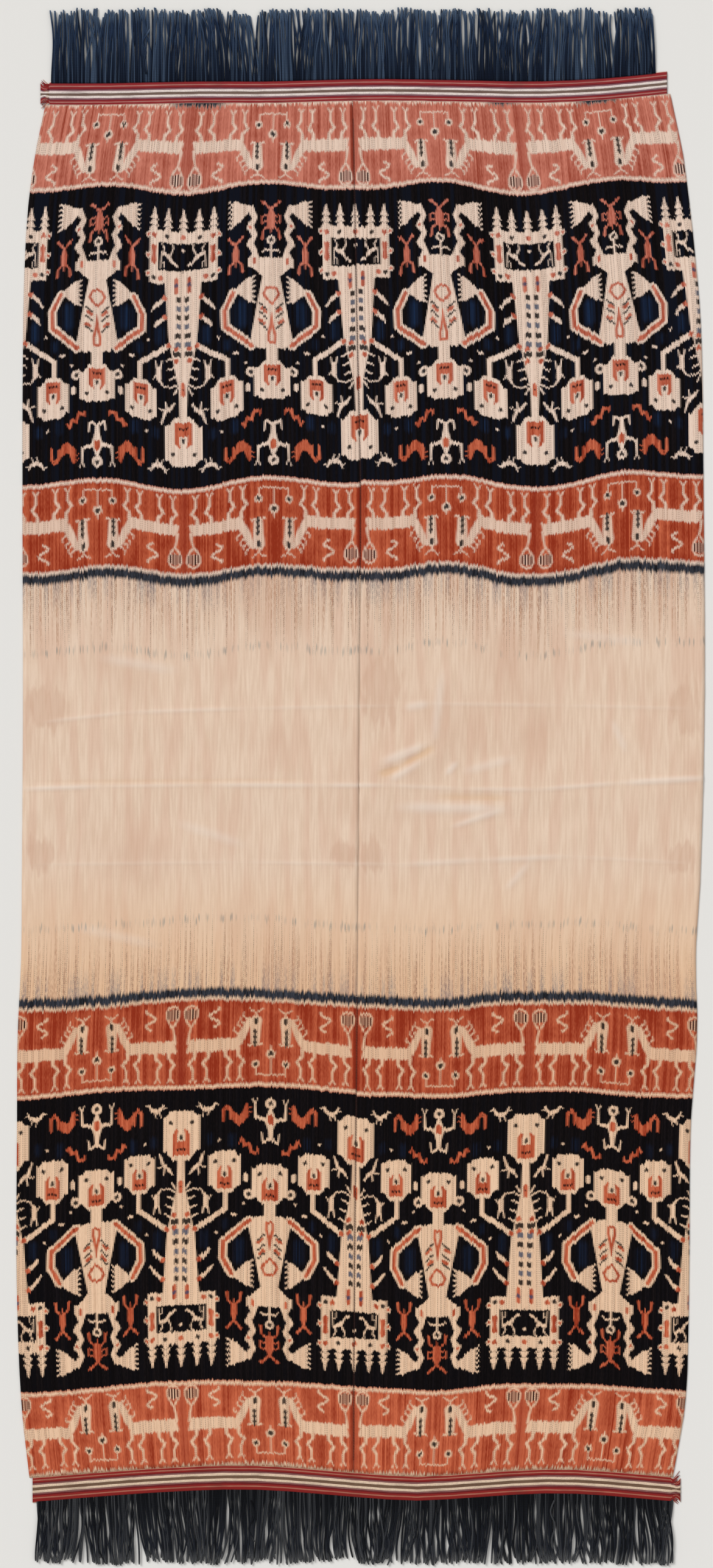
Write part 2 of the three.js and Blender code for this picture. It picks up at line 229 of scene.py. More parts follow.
class Chart:
    """Shapes of one repeat, by dye. Places across count from the middle line that is set."""

    def __init__(self):
        self.middle = 0
        self.lines = {dye: [] for dye in DYES}
        self.blocks = {dye: [] for dye in DYES}

    def line(self, dye, *points):
        self.lines[dye].append([(self.middle + point[0], *point[1:]) for point in points])

    def block(self, dye, across, *sizes):
        self.blocks[dye].append((self.middle + across, *sizes))

    def dots(self, dye, radius, *places):
        for across, along in places:
            self.line(dye, (across, along, radius))

    def draw(self, lines, blocks, dots):
        """Adds the rows of a motif's three tables."""
        for add, rows in ((self.line, lines), (self.block, blocks), (self.dots, dots)):
            for row in rows:
                add(*row)

    def skull(self, across, low, high, half_width):
        """A stepped head with two eyes, a red arched face and a dark nose and mouth."""
        tall = high - low
        brow = high - 0.15 * tall
        jaw = low + 0.24 * tall
        face = 0.48 * half_width
        face_low = low + 0.1 * tall
        face_high = low + 0.52 * tall
        cheek = 0.7 * face
        jowl = 0.3 * face
        lap = 4
        self.block(CREAM, across, low, jaw + lap, 0.42 * half_width, half_width)
        self.block(CREAM, across, jaw - lap, brow + lap, half_width, half_width)
        self.block(CREAM, across, brow - lap, high, half_width, 0.6 * half_width)
        self.block(RED, across, face_low, low + 0.4 * tall, face, face)
        for side in (-1, 1):
            arch = (
                (across + side * cheek, face_low + 6, jowl),
                (across + side * cheek, face_high, jowl),
                (across + side * 0.45 * face, face_high + 7, 0.6 * jowl),
            )
            self.line(RED, *arch)
            self.dots(INK, 4.2, (across + side * 0.56 * half_width, high - 0.24 * tall))
        self.line(INK, (across, low + 0.5 * tall, 2.8), (across, low + 0.45 * tall, 3.6))
        mouth = low + 0.23 * tall
        self.dots(INK, 3, (across - 5.5, mouth), (across, mouth), (across + 5.5, mouth))

    def fan(self, across, along, edge, low, high):
        """A hand or a foot: a palm that opens from one point, and six fingers on its upright edge."""
        palm = 0.76
        for tip in np.linspace(low, high, 6):
            knuckle = (across + palm * (edge - across), along + palm * (tip - along))
            self.line(CREAM, (across, along, 3.4), (*knuckle, 5))
            self.line(CREAM, (*knuckle, 2.2), (edge, tip, 2.2))

    def crayfish(self, across, along, reach, tall):
        """A small red animal with raised claws and a forked tail, mirrored about its own middle."""
        body = ((0.14, 0.48), (-0.08, 0.52), (-0.28, 0.2))
        self.line(RED, *((across, along + rise * tall, wide * reach) for rise, wide in body))
        self.line(RED, (across, along + 0.24 * tall, 2), (across, along + 0.33 * tall, 1.6))
        for side in (-reach, reach):
            claw = (
                (across, along + 0.12 * tall, 2.4),
                (across + 0.85 * side, along + 0.28 * tall, 2.4),
                (across + 0.95 * side, along + 0.47 * tall, 3.2),
            )
            self.line(RED, *claw)
            self.line(RED, (across, along - 0.26 * tall, 2.4), (across + 0.95 * side, along - 0.46 * tall, 3))


def draw_tree(chart):
    """The tree with its two kinds of heads, trunk marks and spires."""
    chart.draw(TREE_LINES, TREE_BLOCKS, TREE_DOTS)
    chart.skull(0, 363, 446, 31)
    chart.skull(69.5, 309, 377, 26.5)
    for dye, along, width in TRUNK_MARKS:
        chart.block(dye, 0.5 * width + 2.2, along - 5, along + 5, 0.5 * width, 0.5 * width)
    for across in SPIRES:
        for sizes in SPIRE_STEPS:
            chart.block(CREAM, across, *sizes)


def draw_figure(chart):
    """The standing figure, with the crayfish and the small person in its middle line."""
    chart.middle = HALF_REPEAT
    chart.draw(FIGURE_LINES, FIGURE_BLOCKS, FIGURE_DOTS)
    chart.skull(0, 291, 356.5, 30)
    chart.crayfish(0, 60, 15, 64)
    # Bent arm with its red core, and the hand
    for dye, half_width in ((CREAM, 8), (RED, 4)):
        chart.line(dye, *((*place, half_width) for place in ARM))
    chart.fan(-57, 174, -27, 154, 197)
    # Leg in even bends, and the foot
    leg = [(-27, 126, 11)]
    for step in range(6):
        outward = step % 2
        leg.append((-26 - 8 * outward, 112 - 14.4 * step, 4.6 + 1.6 * outward))
    chart.line(CREAM, *leg)
    chart.fan(-33, 40, -68, 25, 67)
    chart.middle = 0


def draw_between(chart):
    """What lies between the trees and the figures."""
    chart.draw(BETWEEN_LINES, (), BETWEEN_DOTS)
    chart.crayfish(85, 114, 11.5, 64)


def draw_horse(chart):
    """The horse, the winding animal above its back and the flowers before it."""
    chart.draw(HORSE_LINES, HORSE_BLOCKS, HORSE_DOTS)
    # Raised tail: a drop-shaped loop, and dark and pale ribs in turn inside it
    loop = []
    for turn in np.linspace(0, 2 * math.pi, 13):
        rise = 0.5 * (1 - math.cos(turn))
        loop.append((TAIL_MIDDLE + 14 * math.sin(turn) * math.sqrt(rise), 99 + 34 * rise, 2.3))
    chart.line(CREAM, *loop)
    for rib in range(-3, 4):
        across = TAIL_MIDDLE + TAIL_RIB_PITCH * rib
        chart.line(INK if rib % 2 else CREAM, (across, 111 + abs(rib), 2), (across, 128 - abs(rib), 2))
    for across, along in MANE:
        chart.line(CREAM, (across, along, 2.4), (across - 7, along + 5, 1.8), (across - 6, along + 10, 1.6))
    # Winding animal above the back, in even sweeps
    winding = []
    for share in np.linspace(0, 1, 13):
        winding.append((52 + 8 * math.sin(2.6 * math.pi * share), 98 + 31 * share, 2.6))
    chart.line(CREAM, *winding)
    # Four legs of one shape with split hooves
    for hip, bend in LEGS:
        hoof = hip + 0.3 * bend
        chart.line(CREAM, (hip, 62, 4.2), (hip, 52, 3), (hip + bend, 42, 3))
        chart.line(CREAM, (hip + bend, 42, 3), (hoof, 32, 2.8), (hoof, 19, 2.2))
        for side in (-1, 1):
            chart.line(CREAM, (hoof, 19, 2.2), (hoof + side * 4.5, 12, 2))
    for across, along, radius in FLOWERS:
        chart.dots(CREAM, radius, (across, along))
        chart.dots(INK, 0.58 * radius, (across, along))




# Layout of the cloth along the warp, in millimetres from the striped band towards the middle
DARK_START = 140
INNER_START = 622
NAVY_START = 768
PLAIN_START = 784
FLECK_LINE = 898
BETWEEN_HORSES = 0.5 * (DARK_START + INNER_START)
# The pattern of the upper half waves from tree to figure, less so at the cloth's sides
TREE_WAVE = 11
SIDE_WAVE_SHARE = 0.35

# Where the middle lines of trees and figures fall across each panel, as a share of its width, beside
# their place on the chart. The upper and lower ends of the cloth differ a little.
CHART_ACROSS = {
    "panel_left": {
        "upper": ((0, 19), (0.221, 142), (0.477, 284), (0.744, 426), (1, 568)),
        "lower": ((0, 11), (0.236, 142), (0.484, 284), (0.748, 426), (1, 568)),
    },
    "panel_right": {
        "upper": ((0, 0), (0.25, 142), (0.512, 284), (0.763, 426), (1, 562)),
        "lower": ((0, 0), (0.247, 142), (0.509, 284), (0.767, 426), (1, 556)),
    },
}

# Faces of a panel wear one of three materials, which change where the cloth is plain dark or plain cream
HORSES, FIGURES, PLAIN = 0, 1, 2
FIGURES_REACH = (DARK_START + 18, INNER_START - 14)
PLAIN_REACH = PLAIN_START + 32

# The sheet of a panel. Rows lie closer in the undyed middle, where the creases are: row and share along.
PANEL_COLUMNS = 100
PANEL_ROWS = ((0, 0), (96, 0.355), (344, 0.645), (440, 1))
SHEET_THICKNESS = 1.4
LOOM_WIDTH = 560
FIRST_THREAD = {"panel_left": 0, "panel_right": 1000}

# Where a solid is cut to read its sides and ends, in millimetres from its corners, and how often
SIDE_INSET = 50
SIDE_CUTS = 90
END_INSET = 6
END_CUTS = 60
# Rounds of fitting the grid to the outline, and of softening its heights
OUTLINE_ROUNDS = 5
SOFTEN_ROUNDS = 6

# Wavelengths and heights of the cloth's soft unevenness, and of the drift of its pattern, in millimetres
SOFT_WAVES = (38, 47, 61, 83, 120)
SOFT_HEIGHT = 0.5
DRIFT_WAVES = (150, 210, 330)
DRIFT = 3

# Start and size of the face and the underside in the model's baked picture, and the rim round the face
FACE_START, FACE_SIZE = (0.02, 0.12), (0.96, 0.86)
UNDER_START, UNDER_SIZE = (0.02, 0.01), (0.96, 0.08)
RIM_MIDDLE = (0.5, 0.55)
RIM_GROWTH = 1.015

# Creases: from, to, half width and height in millimetres. A trough has a height below 0.
# Each is highest midway and falls to a share of that at its ends.
CREASE_END_SHARE = 0.25
CREASES = (
    (-555, -4, -430, 0, 4, 1.3),
    (-430, 0, -250, 3, 3.5, 0.8),
    (-250, 3, -60, 2, 4.5, 1.1),
    (-60, 2, 40, 2, 4, 1.2),
    (40, 2, 170, -4, 4, 0.7),
    (170, -4, 290, -5, 4, 0.9),
    (290, -5, 430, 6, 4, 1),
    (430, 6, 570, 14, 5, 1.6),
    (-540, 8, -60, 10, 4, -0.5),
    (60, -34, 235, -36, 9, 1.3),
    (36, 40, 108, 67, 8, 1.5),
    (30, 19, 66, 31, 7, -1.4),
    (66, 31, 122, 68, 7, -1.5),
    (48, 11, 100, 43, 7, 1.4),
    (120, 68, 133, 190, 7, 1.0),
    (141, 20, 158, 40, 5, 1.5),
    (168, 24, 252, 47, 8, 0.9),
    (120, -18, 250, -20, 8, -0.8),
    (150, -66, 230, -40, 5, 1.2),
    (-520, 106, -380, 122, 3.5, 0.8),
    (-380, 122, -190, 128, 3.5, 0.9),
    (-190, 128, 60, 133, 3.5, 0.6),
    (74, 130, 112, 136, 7, 1.3),
    (112, 136, 330, 133, 3.5, 0.6),
    (330, 133, 545, 128, 3.5, 0.5),
    (-540, -128, -190, -124, 3.5, 0.5),
    (-190, -124, 69, -128, 3.5, 0.6),
    (69, -128, 200, -121, 5, 0.9),
    (200, -121, 340, -115, 5, 1),
    (340, -115, 545, -126, 3.5, 0.5),
    (413, 110, 436, 56, 6, 1.0),
    (239, -169, 277, -125, 6, 1.0),
    (-430, 212, -300, 190, 9, 0.8),
    (-300, -60, -190, -96, 9, 0.8),
    (-470, -230, -330, -262, 9, 0.7),
    (330, 252, 470, 236, 9, 0.7),
)


def node_shape(name):
    """Points in metres and triangles of a node of the frame."""
    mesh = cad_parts[name].data
    points = np.empty(len(mesh.vertices) * 3, dtype=np.float32)
    mesh.vertices.foreach_get("co", points)
    mesh.calc_loop_triangles()
    triangles = np.empty(len(mesh.loop_triangles) * 3, dtype=np.int32)
    mesh.loop_triangles.foreach_get("vertices", triangles)
    return points.reshape(-1, 3).astype(float), triangles.reshape(-1, 3)


def cut_extents(shape, axis, stations):
    """Lowest and highest place of a solid on its other level axis, where it is cut at each station."""
    points, triangles = shape
    edges = np.concatenate([triangles[:, [0, 1]], triangles[:, [1, 2]], triangles[:, [2, 0]]])
    start, end = points[edges[:, 0]], points[edges[:, 1]]
    run = end[:, axis] - start[:, axis]
    lows, highs = [], []
    for station in stations:
        crosses = (start[:, axis] - station) * (end[:, axis] - station) < 0
        share = (station - start[crosses, axis]) / run[crosses]
        other = 1 - axis
        places = start[crosses, other] + share * (end[crosses, other] - start[crosses, other])
        lows.append(places.min())
        highs.append(places.max())
    return np.array(lows), np.array(highs)


def extended(stations, values, reach):
    """A reading of a table that runs straight on past both of its ends."""
    first = values[0] - (values[1] - values[0]) / (stations[1] - stations[0]) * reach
    last = values[-1] + (values[-1] - values[-2]) / (stations[-1] - stations[-2]) * reach
    places = np.concatenate([[stations[0] - reach], stations, [stations[-1] + reach]])
    known = np.concatenate([[first], values, [last]])
    return lambda at: np.interp(at, places, known)


def smooth_noise(across, along, waves, seed):
    """A sum of level waves in random directions, from about -1 to 1."""
    random = np.random.default_rng(seed)
    total = np.zeros_like(across)
    for length in waves:
        turn = random.uniform(0, math.pi)
        phase = random.uniform(0, 2 * math.pi)
        total += np.sin((across * math.cos(turn) + along * math.sin(turn)) * 2 * math.pi / length + phase)
    return total / len(waves)


def crease_relief(x, y):
    """Height of the fine creases at places in millimetres."""
    relief = np.zeros_like(x)
    for x0, y0, x1, y1, spread, height in CREASES:
        run_x, run_y = x1 - x0, y1 - y0
        share = ((x - x0) * run_x + (y - y0) * run_y) / (run_x**2 + run_y**2)
        held = np.clip(share, 0, 1)
        away = np.hypot(x - x0 - held * run_x, y - y0 - held * run_y)
        fade = np.clip(4 * held * (1 - held) + CREASE_END_SHARE, 0, 1)
        relief += height * np.exp(-((away / spread) ** 2)) * fade
    return relief


def make_object(name, points, faces, maps, materials):
    """A mesh object from points in metres, quads, and UV maps given per corner."""
    mesh = bpy.data.meshes.new(name)
    mesh.vertices.add(len(points))
    mesh.vertices.foreach_set("co", np.asarray(points, dtype=np.float32).ravel())
    mesh.loops.add(faces.size)
    mesh.loops.foreach_set("vertex_index", faces.ravel().astype(np.int32))
    mesh.polygons.add(len(faces))
    mesh.polygons.foreach_set("loop_start", np.arange(len(faces), dtype=np.int32) * faces.shape[1])
    mesh.polygons.foreach_set("use_smooth", np.full(len(faces), True))
    for map_name, places in maps.items():
        layer = mesh.uv_layers.new(name=map_name)
        layer.uv.foreach_set("vector", np.asarray(places, dtype=np.float32).ravel())
    mesh.update()
    mesh.validate()
    for material in materials:
        mesh.materials.append(material)
    made = bpy.data.objects.new(name, mesh)
    bpy.context.collection.objects.link(made)
    return made


def grid_faces(rows, columns):
    """Quads of a grid of points that is stored row by row."""
    corner = (np.arange(rows - 1)[:, None] * columns + np.arange(columns - 1)[None, :]).ravel()
    return np.stack([corner, corner + 1, corner + columns + 1, corner + columns], axis=1)


def rim_points(rows, columns):
    """Point numbers round the edge of a grid, counter-clockwise."""
    index = np.arange(rows * columns).reshape(rows, columns)
    return np.concatenate([index[0, :-1], index[:-1, -1], index[-1, :0:-1], index[:0:-1, 0]])


def sheet_object(name, top, thickness, share, maps, materials):
    """A closed sheet under a grid of top points. Shares and maps give one place per grid point."""
    rows, columns = top.shape[:2]
    count = rows * columns
    upper = top.reshape(-1, 3)
    lower = upper - np.array([0, 0, thickness])
    faces_up = grid_faces(rows, columns)
    faces_down = faces_up[:, ::-1] + count
    rim = rim_points(rows, columns)
    after = np.roll(rim, -1)
    faces_rim = np.stack([rim, rim + count, after + count, after], axis=1)
    faces = np.concatenate([faces_up, faces_down, faces_rim])
    corners = {}
    for map_name, places in maps.items():
        doubled = np.concatenate([places.reshape(-1, 2), places.reshape(-1, 2)])
        corners[map_name] = doubled[faces.ravel()]
    corners["OFBake"] = bake_places(share.reshape(-1, 2), faces_up, faces_down - count, rim, after)
    return make_object(name, np.concatenate([upper, lower]), faces, corners, materials)


def bake_places(share, faces_up, faces_down, rim, after):
    """A flat map for the model's baked picture: the face large, the underside narrow, the rim outside."""
    face = FACE_START + share * FACE_SIZE
    under = UNDER_START + share * UNDER_SIZE
    outside = RIM_MIDDLE + (face - RIM_MIDDLE) * RIM_GROWTH
    edge = np.stack([face[rim], outside[rim], outside[after], face[after]], axis=1)
    return np.concatenate([face[faces_up.ravel()], under[faces_down.ravel()], edge.reshape(-1, 2)])


def panel_grid(name):
    """Places of a panel's grid in metres, seen from above, and its shares across and along."""
    shape = node_shape(name)
    low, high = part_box(name)
    inset = SIDE_INSET * MM
    stations = np.linspace(low[1] + inset, high[1] - inset, SIDE_CUTS)
    left, right = (extended(stations, edge, inset) for edge in cut_extents(shape, 1, stations))
    inset = END_INSET * MM
    ends = []
    for place, pick in ((low[1] + inset, 0), (high[1] - inset, 1)):
        across = np.linspace(left(place) + inset, right(place) - inset, END_CUTS)
        ends.append(extended(across, cut_extents(shape, 0, across)[pick], inset))
    bottom, top = ends
    rows = np.interp(np.arange(PANEL_ROWS[-1][0] + 1), *zip(*PANEL_ROWS))
    p, q = np.meshgrid(np.linspace(0, 1, PANEL_COLUMNS + 1), rows)
    y = low[1] + q * (high[1] - low[1])
    for _ in range(OUTLINE_ROUNDS):
        x = left(y) + p * (right(y) - left(y))
        y = bottom(x) + q * (top(x) - bottom(x))
    return shape, x, y, p, q, bottom(x), top(x)


def surface_heights(shape, x, y):
    """Height of a solid's upper face above each place, softened over its facets."""
    tree = BVHTree.FromPolygons(shape[0].tolist(), shape[1].tolist())
    down = Vector((0, 0, -1))
    heights = np.empty(x.size)
    for i, place in enumerate(zip(x.ravel(), y.ravel())):
        hit = tree.ray_cast(Vector((place[0], place[1], 1)), down)[0]
        heights[i] = hit.z if hit else SHEET_THICKNESS * MM
    heights = heights.reshape(x.shape)
    # Each pass softens the grid one way and turns it over for the next
    for _ in range(2 * SOFTEN_ROUNDS):
        padded = np.pad(heights, ((1, 1), (0, 0)), mode="edge")
        heights = (0.5 * heights + 0.25 * (padded[:-2] + padded[2:])).T
    return heights


def make_panel(name, seed, materials):
    """One loom width of ikat cloth on its solid's outline and folds."""
    shape, x, y, p, q, bottom, top = panel_grid(name)
    z = surface_heights(shape, x, y)
    x_mm, y_mm = x / MM, y / MM
    soft = np.clip(smooth_noise(x_mm, y_mm, SOFT_WAVES, seed), 0, 1)
    relief = crease_relief(x_mm, y_mm)
    z = np.maximum(z + (relief + SOFT_HEIGHT * soft) * MM, SHEET_THICKNESS * MM)
    # Chart places: across from the two ends' tables, along from the nearer end
    upper = np.interp(p, *zip(*CHART_ACROSS[name]["upper"]))
    lower = np.interp(p, *zip(*CHART_ACROSS[name]["lower"]))
    share_up = np.clip((y - bottom) / (top - bottom) * 2 - 0.5, 0, 1)
    chart_across = lower + (upper - lower) * share_up
    from_top = (top - y) / MM
    from_bottom = (y - bottom) / MM
    middle_share = SIDE_WAVE_SHARE + (1 - SIDE_WAVE_SHARE) * np.sin(math.pi * p)
    eased = np.clip(from_top / DARK_START, 0, 1) * middle_share
    from_top = from_top - eased * TREE_WAVE * np.cos(math.pi * chart_across / HALF_REPEAT)
    chart_along = np.where(y > 0, from_top, from_bottom)
    chart_along = chart_along + DRIFT * smooth_noise(x_mm, y_mm, DRIFT_WAVES, seed + 1)
    maps = {
        "weave": np.stack([FIRST_THREAD[name] + p * LOOM_WIDTH, y_mm], axis=2),
        "chart": np.stack([chart_across, chart_along], axis=2),
        # Crease heights, which the plain material also turns into painted highlight and shade
        "relief": np.stack([relief, relief], axis=2),
    }
    top_face = np.stack([x, y, z], axis=2)
    share = np.stack([p, q], axis=2)
    panel = sheet_object(name + "_cloth", top_face, SHEET_THICKNESS * MM, share, maps, materials)
    # Each face wears the material of its strip of the cloth
    places = np.empty(len(panel.data.loops) * 2, dtype=np.float32)
    panel.data.uv_layers["chart"].uv.foreach_get("vector", places)
    face_along = places.reshape(-1, 4, 2)[:, :, 1].mean(axis=1)
    worn = np.where((face_along > FIGURES_REACH[0]) & (face_along < FIGURES_REACH[1]), FIGURES, HORSES)
    worn[face_along > PLAIN_REACH] = PLAIN
    panel.data.polygons.foreach_set("material_index", worn.astype(np.int32))
    return panel


def srgb(red, green, blue):
    """A colour as seen in the photograph, 0 to 255, in the linear values that shaders take."""
    shares = np.array((red, green, blue)) / 255
    linear = np.where(shares <= 0.04045, shares / 12.92, ((shares + 0.055) / 1.055) ** 2.4)
    return (*linear.tolist(), 1)


def sum_by(operation, swapped=False):
    """A sum of two values, worked out by a node."""

    def work(first, second):
        values = (second, first) if swapped else (first, second)
        return first.nodes.math(operation, *values)

    return work


class Value:
    """An output of a node, which takes part in sums as a number does."""

    def __init__(self, nodes, socket):
        self.nodes = nodes
        self.socket = socket

    __add__ = __radd__ = sum_by("ADD")
    __mul__ = __rmul__ = sum_by("MULTIPLY")
    __sub__ = sum_by("SUBTRACT")
    __rsub__ = sum_by("SUBTRACT", swapped=True)
    __truediv__ = sum_by("DIVIDE")


class Nodes:
    """Adds nodes to a tree in the order they are worked out. What goes into a node is a number, a
    colour, a vector or a value of an earlier node."""

    def __init__(self, tree):
        self.tree = tree

    def put(self, socket, value):
        if isinstance(value, Value):
            self.tree.links.new(value.socket, socket)
        else:
            socket.default_value = value

    def add(self, kind, values=(), **settings):
        node = self.tree.nodes.new(kind)
        for name, setting in settings.items():
            setattr(node, name, setting)
        for socket, value in zip(node.inputs, values):
            self.put(socket, value)
        return node

    def value(self, kind, values=(), output=0, **settings):
        """One output of a new node."""
        return Value(self, self.add(kind, values, **settings).outputs[output])

    def math(self, operation, *values):
        return self.value("ShaderNodeMath", values, operation=operation)

    def vector(self, operation, *values):
        output = "Value" if operation in ("DOT_PRODUCT", "DISTANCE") else "Vector"
        return self.value("ShaderNodeVectorMath", values, output, operation=operation)

    def scaled(self, vector, factor):
        node = self.add("ShaderNodeVectorMath", (vector,), operation="SCALE")
        self.put(node.inputs["Scale"], factor)
        return Value(self, node.outputs["Vector"])

    def combine(self, x, y):
        return self.value("ShaderNodeCombineXYZ", (x, y))

    def clamp(self, value):
        return self.value("ShaderNodeClamp", (value,))

    def ramp(self, value, start, end, low=0, high=1):
        """Runs from low to high as a value goes from start to end, and stays level outside."""
        return self.value("ShaderNodeMapRange", (value, start, end, low, high))

    def noise(self, x, y, detail=0):
        """Smooth noise about 0.5 with one cell to each unit of x and y."""
        node = self.add("ShaderNodeTexNoise", (self.combine(x, y),), noise_dimensions="2D")
        self.put(node.inputs["Scale"], 1)
        self.put(node.inputs["Detail"], detail)
        return Value(self, node.outputs[0])

    def wave(self, value, length):
        """A wave of this length along a value, from -1 to 1."""
        return self.math("SINE", value * (2 * math.pi / length))

    def chance(self, number):
        """One even random share for each whole number."""
        node = self.add("ShaderNodeTexWhiteNoise", noise_dimensions="1D")
        self.put(node.inputs["W"], number)
        return Value(self, node.outputs["Value"])

    def mix(self, share, first, second, blend="MIX"):
        node = self.add("ShaderNodeMix", (share,), data_type="RGBA", blend_type=blend)
        self.put(node.inputs[6], first)
        self.put(node.inputs[7], second)
        return Value(self, node.outputs[2])

    def uv(self, name):
        """The two places of a UV map."""
        parts = self.add("ShaderNodeSeparateXYZ", (self.value("ShaderNodeUVMap", uv_map=name),))
        return Value(self, parts.outputs[0]), Value(self, parts.outputs[1])

    def steps(self, value, width):
        """Number of the strip of this width that a place is in."""
        return self.math("FLOOR", value / width)


def new_group(name, **inputs):
    """A node group with inputs of the named kinds: the group, its nodes, what it is given, and the socket
    for the distance that it works out."""
    group = bpy.data.node_groups.new(name, "ShaderNodeTree")
    for socket_name, kind in inputs.items():
        group.interface.new_socket(socket_name, in_out="INPUT", socket_type="NodeSocket" + kind)
    group.interface.new_socket("distance", in_out="OUTPUT", socket_type="NodeSocketFloat")
    nodes = Nodes(group)
    sockets = nodes.add("NodeGroupInput").outputs
    given = [Value(nodes, sockets[socket_name]) for socket_name in inputs]
    return group, nodes, given, nodes.add("NodeGroupOutput").inputs[0]


def stroke_group():
    """Distance from a round-ended stroke whose half width changes along it, less inside."""
    vectors = {"point": "Vector", "start": "Vector", "run": "Vector", "slope": "Vector"}
    group, nodes, given, distance = new_group("stroke", **vectors, half_width="Float", growth="Float")
    point, start, run, slope, half_width, growth = given
    away = nodes.vector("SUBTRACT", point, start)
    share = nodes.clamp(nodes.vector("DOT_PRODUCT", away, slope))
    apart = nodes.vector("DISTANCE", away, nodes.scaled(run, share))
    nodes.put(distance, apart - nodes.math("MULTIPLY_ADD", share, growth, half_width))
    return group


def block_group():
    """Distance from a level-ended block whose half width changes from its low to its high end."""
    names = ("across", "along", "middle", "low", "high", "wide_low", "wide_high")
    group, nodes, given, distance = new_group("block", **dict.fromkeys(names, "Float"))
    across, along, middle, low, high, *widths = given
    beside = nodes.math("ABSOLUTE", across - middle) - nodes.ramp(along, low, high, *widths)
    beyond = nodes.math("MAXIMUM", low - along, along - high)
    nodes.put(distance, nodes.math("MAXIMUM", beside, beyond))
    return group


STROKE = stroke_group()
BLOCK = block_group()
# No shape of the chart is further off than this, in millimetres
FARTHEST = 2000


def chart_group(name, lines, blocks):
    """Distance from the nearest of many lines and blocks, at a place on the chart."""
    group, nodes, (across, along), distance = new_group(name, across="Float", along="Float")
    point = nodes.combine(across, along)
    shapes = []
    for line in lines:
        chain = line if len(line) > 1 else line * 2
        for start, end in zip(chain, chain[1:]):
            run = np.subtract(end[:2], start[:2]).astype(float)
            slope = run / (run @ run or 1)
            growth = end[2] - start[2]
            shapes.append((STROKE, (point, (*start[:2], 0), (*run, 0), (*slope, 0), start[2], growth)))
    # Blocks come last: their ramps are worked out late, and would keep the lines' distances waiting
    shapes += [(BLOCK, (across, along, *sizes)) for sizes in blocks]
    nearest = FARTHEST
    for shape, values in shapes:
        away = nodes.value("ShaderNodeGroup", values, node_tree=shape)
        nearest = nodes.math("MINIMUM", nearest, away)
    nodes.put(distance, nearest)
    return group


# Widths of the woven parts and how far dye creeps along the warp, in millimetres
THREAD = 0.85
PICK = 1.2
BUNDLE = 2.3
BUNDLE_CREEP = 5.5
THREAD_CREEP = 3.4
EDGE_SOFT = 1.1
EDGE_INSET = 0.8
FAR_RAGGED = 1.2
HAIRLINE_PITCH = 3.6

# Dyes, each from its deeper to its paler threads. Reds and creams change from end to end of the cloth.
INK_TONES = (srgb(8, 5, 6), srgb(23, 17, 18))
INDIGO_TONE = srgb(13, 17, 29)
BLUE_TONE = srgb(24, 42, 70)
STEEL_TONE = srgb(46, 68, 94)
CREAM_UPPER = (srgb(237, 211, 192), srgb(208, 178, 158))
CREAM_LOWER = (srgb(238, 201, 168), srgb(212, 172, 140))
HAIRLINE_TONE = srgb(102, 86, 78)
HORSE_TINT = srgb(204, 150, 112)
# Painted shade of a soft fold between the horses' tails, deeper than the red dye
FOLD_SHADE_RED = srgb(140, 46, 30)
ROSE_TONES = (srgb(150, 64, 46), srgb(206, 126, 106))
RUST_TONES = (srgb(146, 48, 25), srgb(206, 106, 72))
NAVY_TONES = (srgb(16, 16, 20), srgb(64, 67, 76))

# The undyed middle
PLAIN_TONES = (srgb(236, 210, 187), srgb(224, 194, 169))
PINK_PLAIN = srgb(217, 176, 152)
WARM_PLAIN = srgb(232, 188, 146)
RUN_LENGTHS = (40, 125)
RUN_TONE = srgb(184, 138, 110)
RUN_LINE = srgb(98, 84, 78)
SMEAR_TONE = srgb(128, 126, 130)
FLECK_TONE = srgb(132, 134, 130)
STAIN_TONE = srgb(202, 158, 132)
# Painted highlight on the crease ridges and painted shade in the crease troughs
RIDGE_HIGHLIGHT_TONE = srgb(238, 225, 214)
TROUGH_SHADE_TONE = srgb(222, 180, 138)

# Blots on the undyed middle: thread place, place along, half width and half height in millimetres
BLOTS = (
    (1036, 158, 31, 58),
    (36, 128, 30, 36),
    (34, -112, 24, 25),
    (1530, 128, 24, 38),
    (1528, -116, 22, 26),
    (538, -112, 24, 22),
    (1022, -114, 20, 26),
)

# Pale lines beside the red bands: start and end along the warp, and how ragged its bundles make the line
PALE_LINES = (
    (-4, 4, 1.2),
    (DARK_START - 7, DARK_START, 0),
    (INNER_START, INNER_START + 7, 0),
    (NAVY_START - 5, NAVY_START + 5, 0.4),
)

# Dark blue patches beside the upper band: thread places where each starts and ends
NAVY_PATCHES = ((234, 325), (1238, 1282), (1395, 1468))

# How a cloth takes the light
CLOTH_FINISH = {"Roughness": 0.95, "Specular IOR Level": 0.05, "Sheen Weight": 0.015, "Sheen Roughness": 0.6}
BUMP_STRENGTH = 0.5
PICK_DEPTH = 0.35
IKAT_RELIEF = 0.2


def new_material(name):
    """A material with its principled shader, ready for its colour."""
    material = bpy.data.materials.new(name)
    material.use_nodes = True
    return material, Nodes(material.node_tree), material.node_tree.nodes["Principled BSDF"]


def finish_cloth(nodes, shader, colour, height, depth):
    """Joins colour and relief to a cloth shader."""
    bump = nodes.add("ShaderNodeBump")
    for name, value in {"Strength": BUMP_STRENGTH, "Distance": depth * MM, "Height": height}.items():
        nodes.put(bump.inputs[name], value)
    normal = Value(nodes, bump.outputs[0])
    for name, value in {**CLOTH_FINISH, "Base Color": colour, "Normal": normal}.items():
        nodes.put(shader.inputs[name], value)


def weave_height(nodes, across, along, rib, pick):
    """Ribs along the warp, crossed by the dips where the weft goes under."""
    return nodes.wave(across, rib) + nodes.wave(along, pick) * PICK_DEPTH


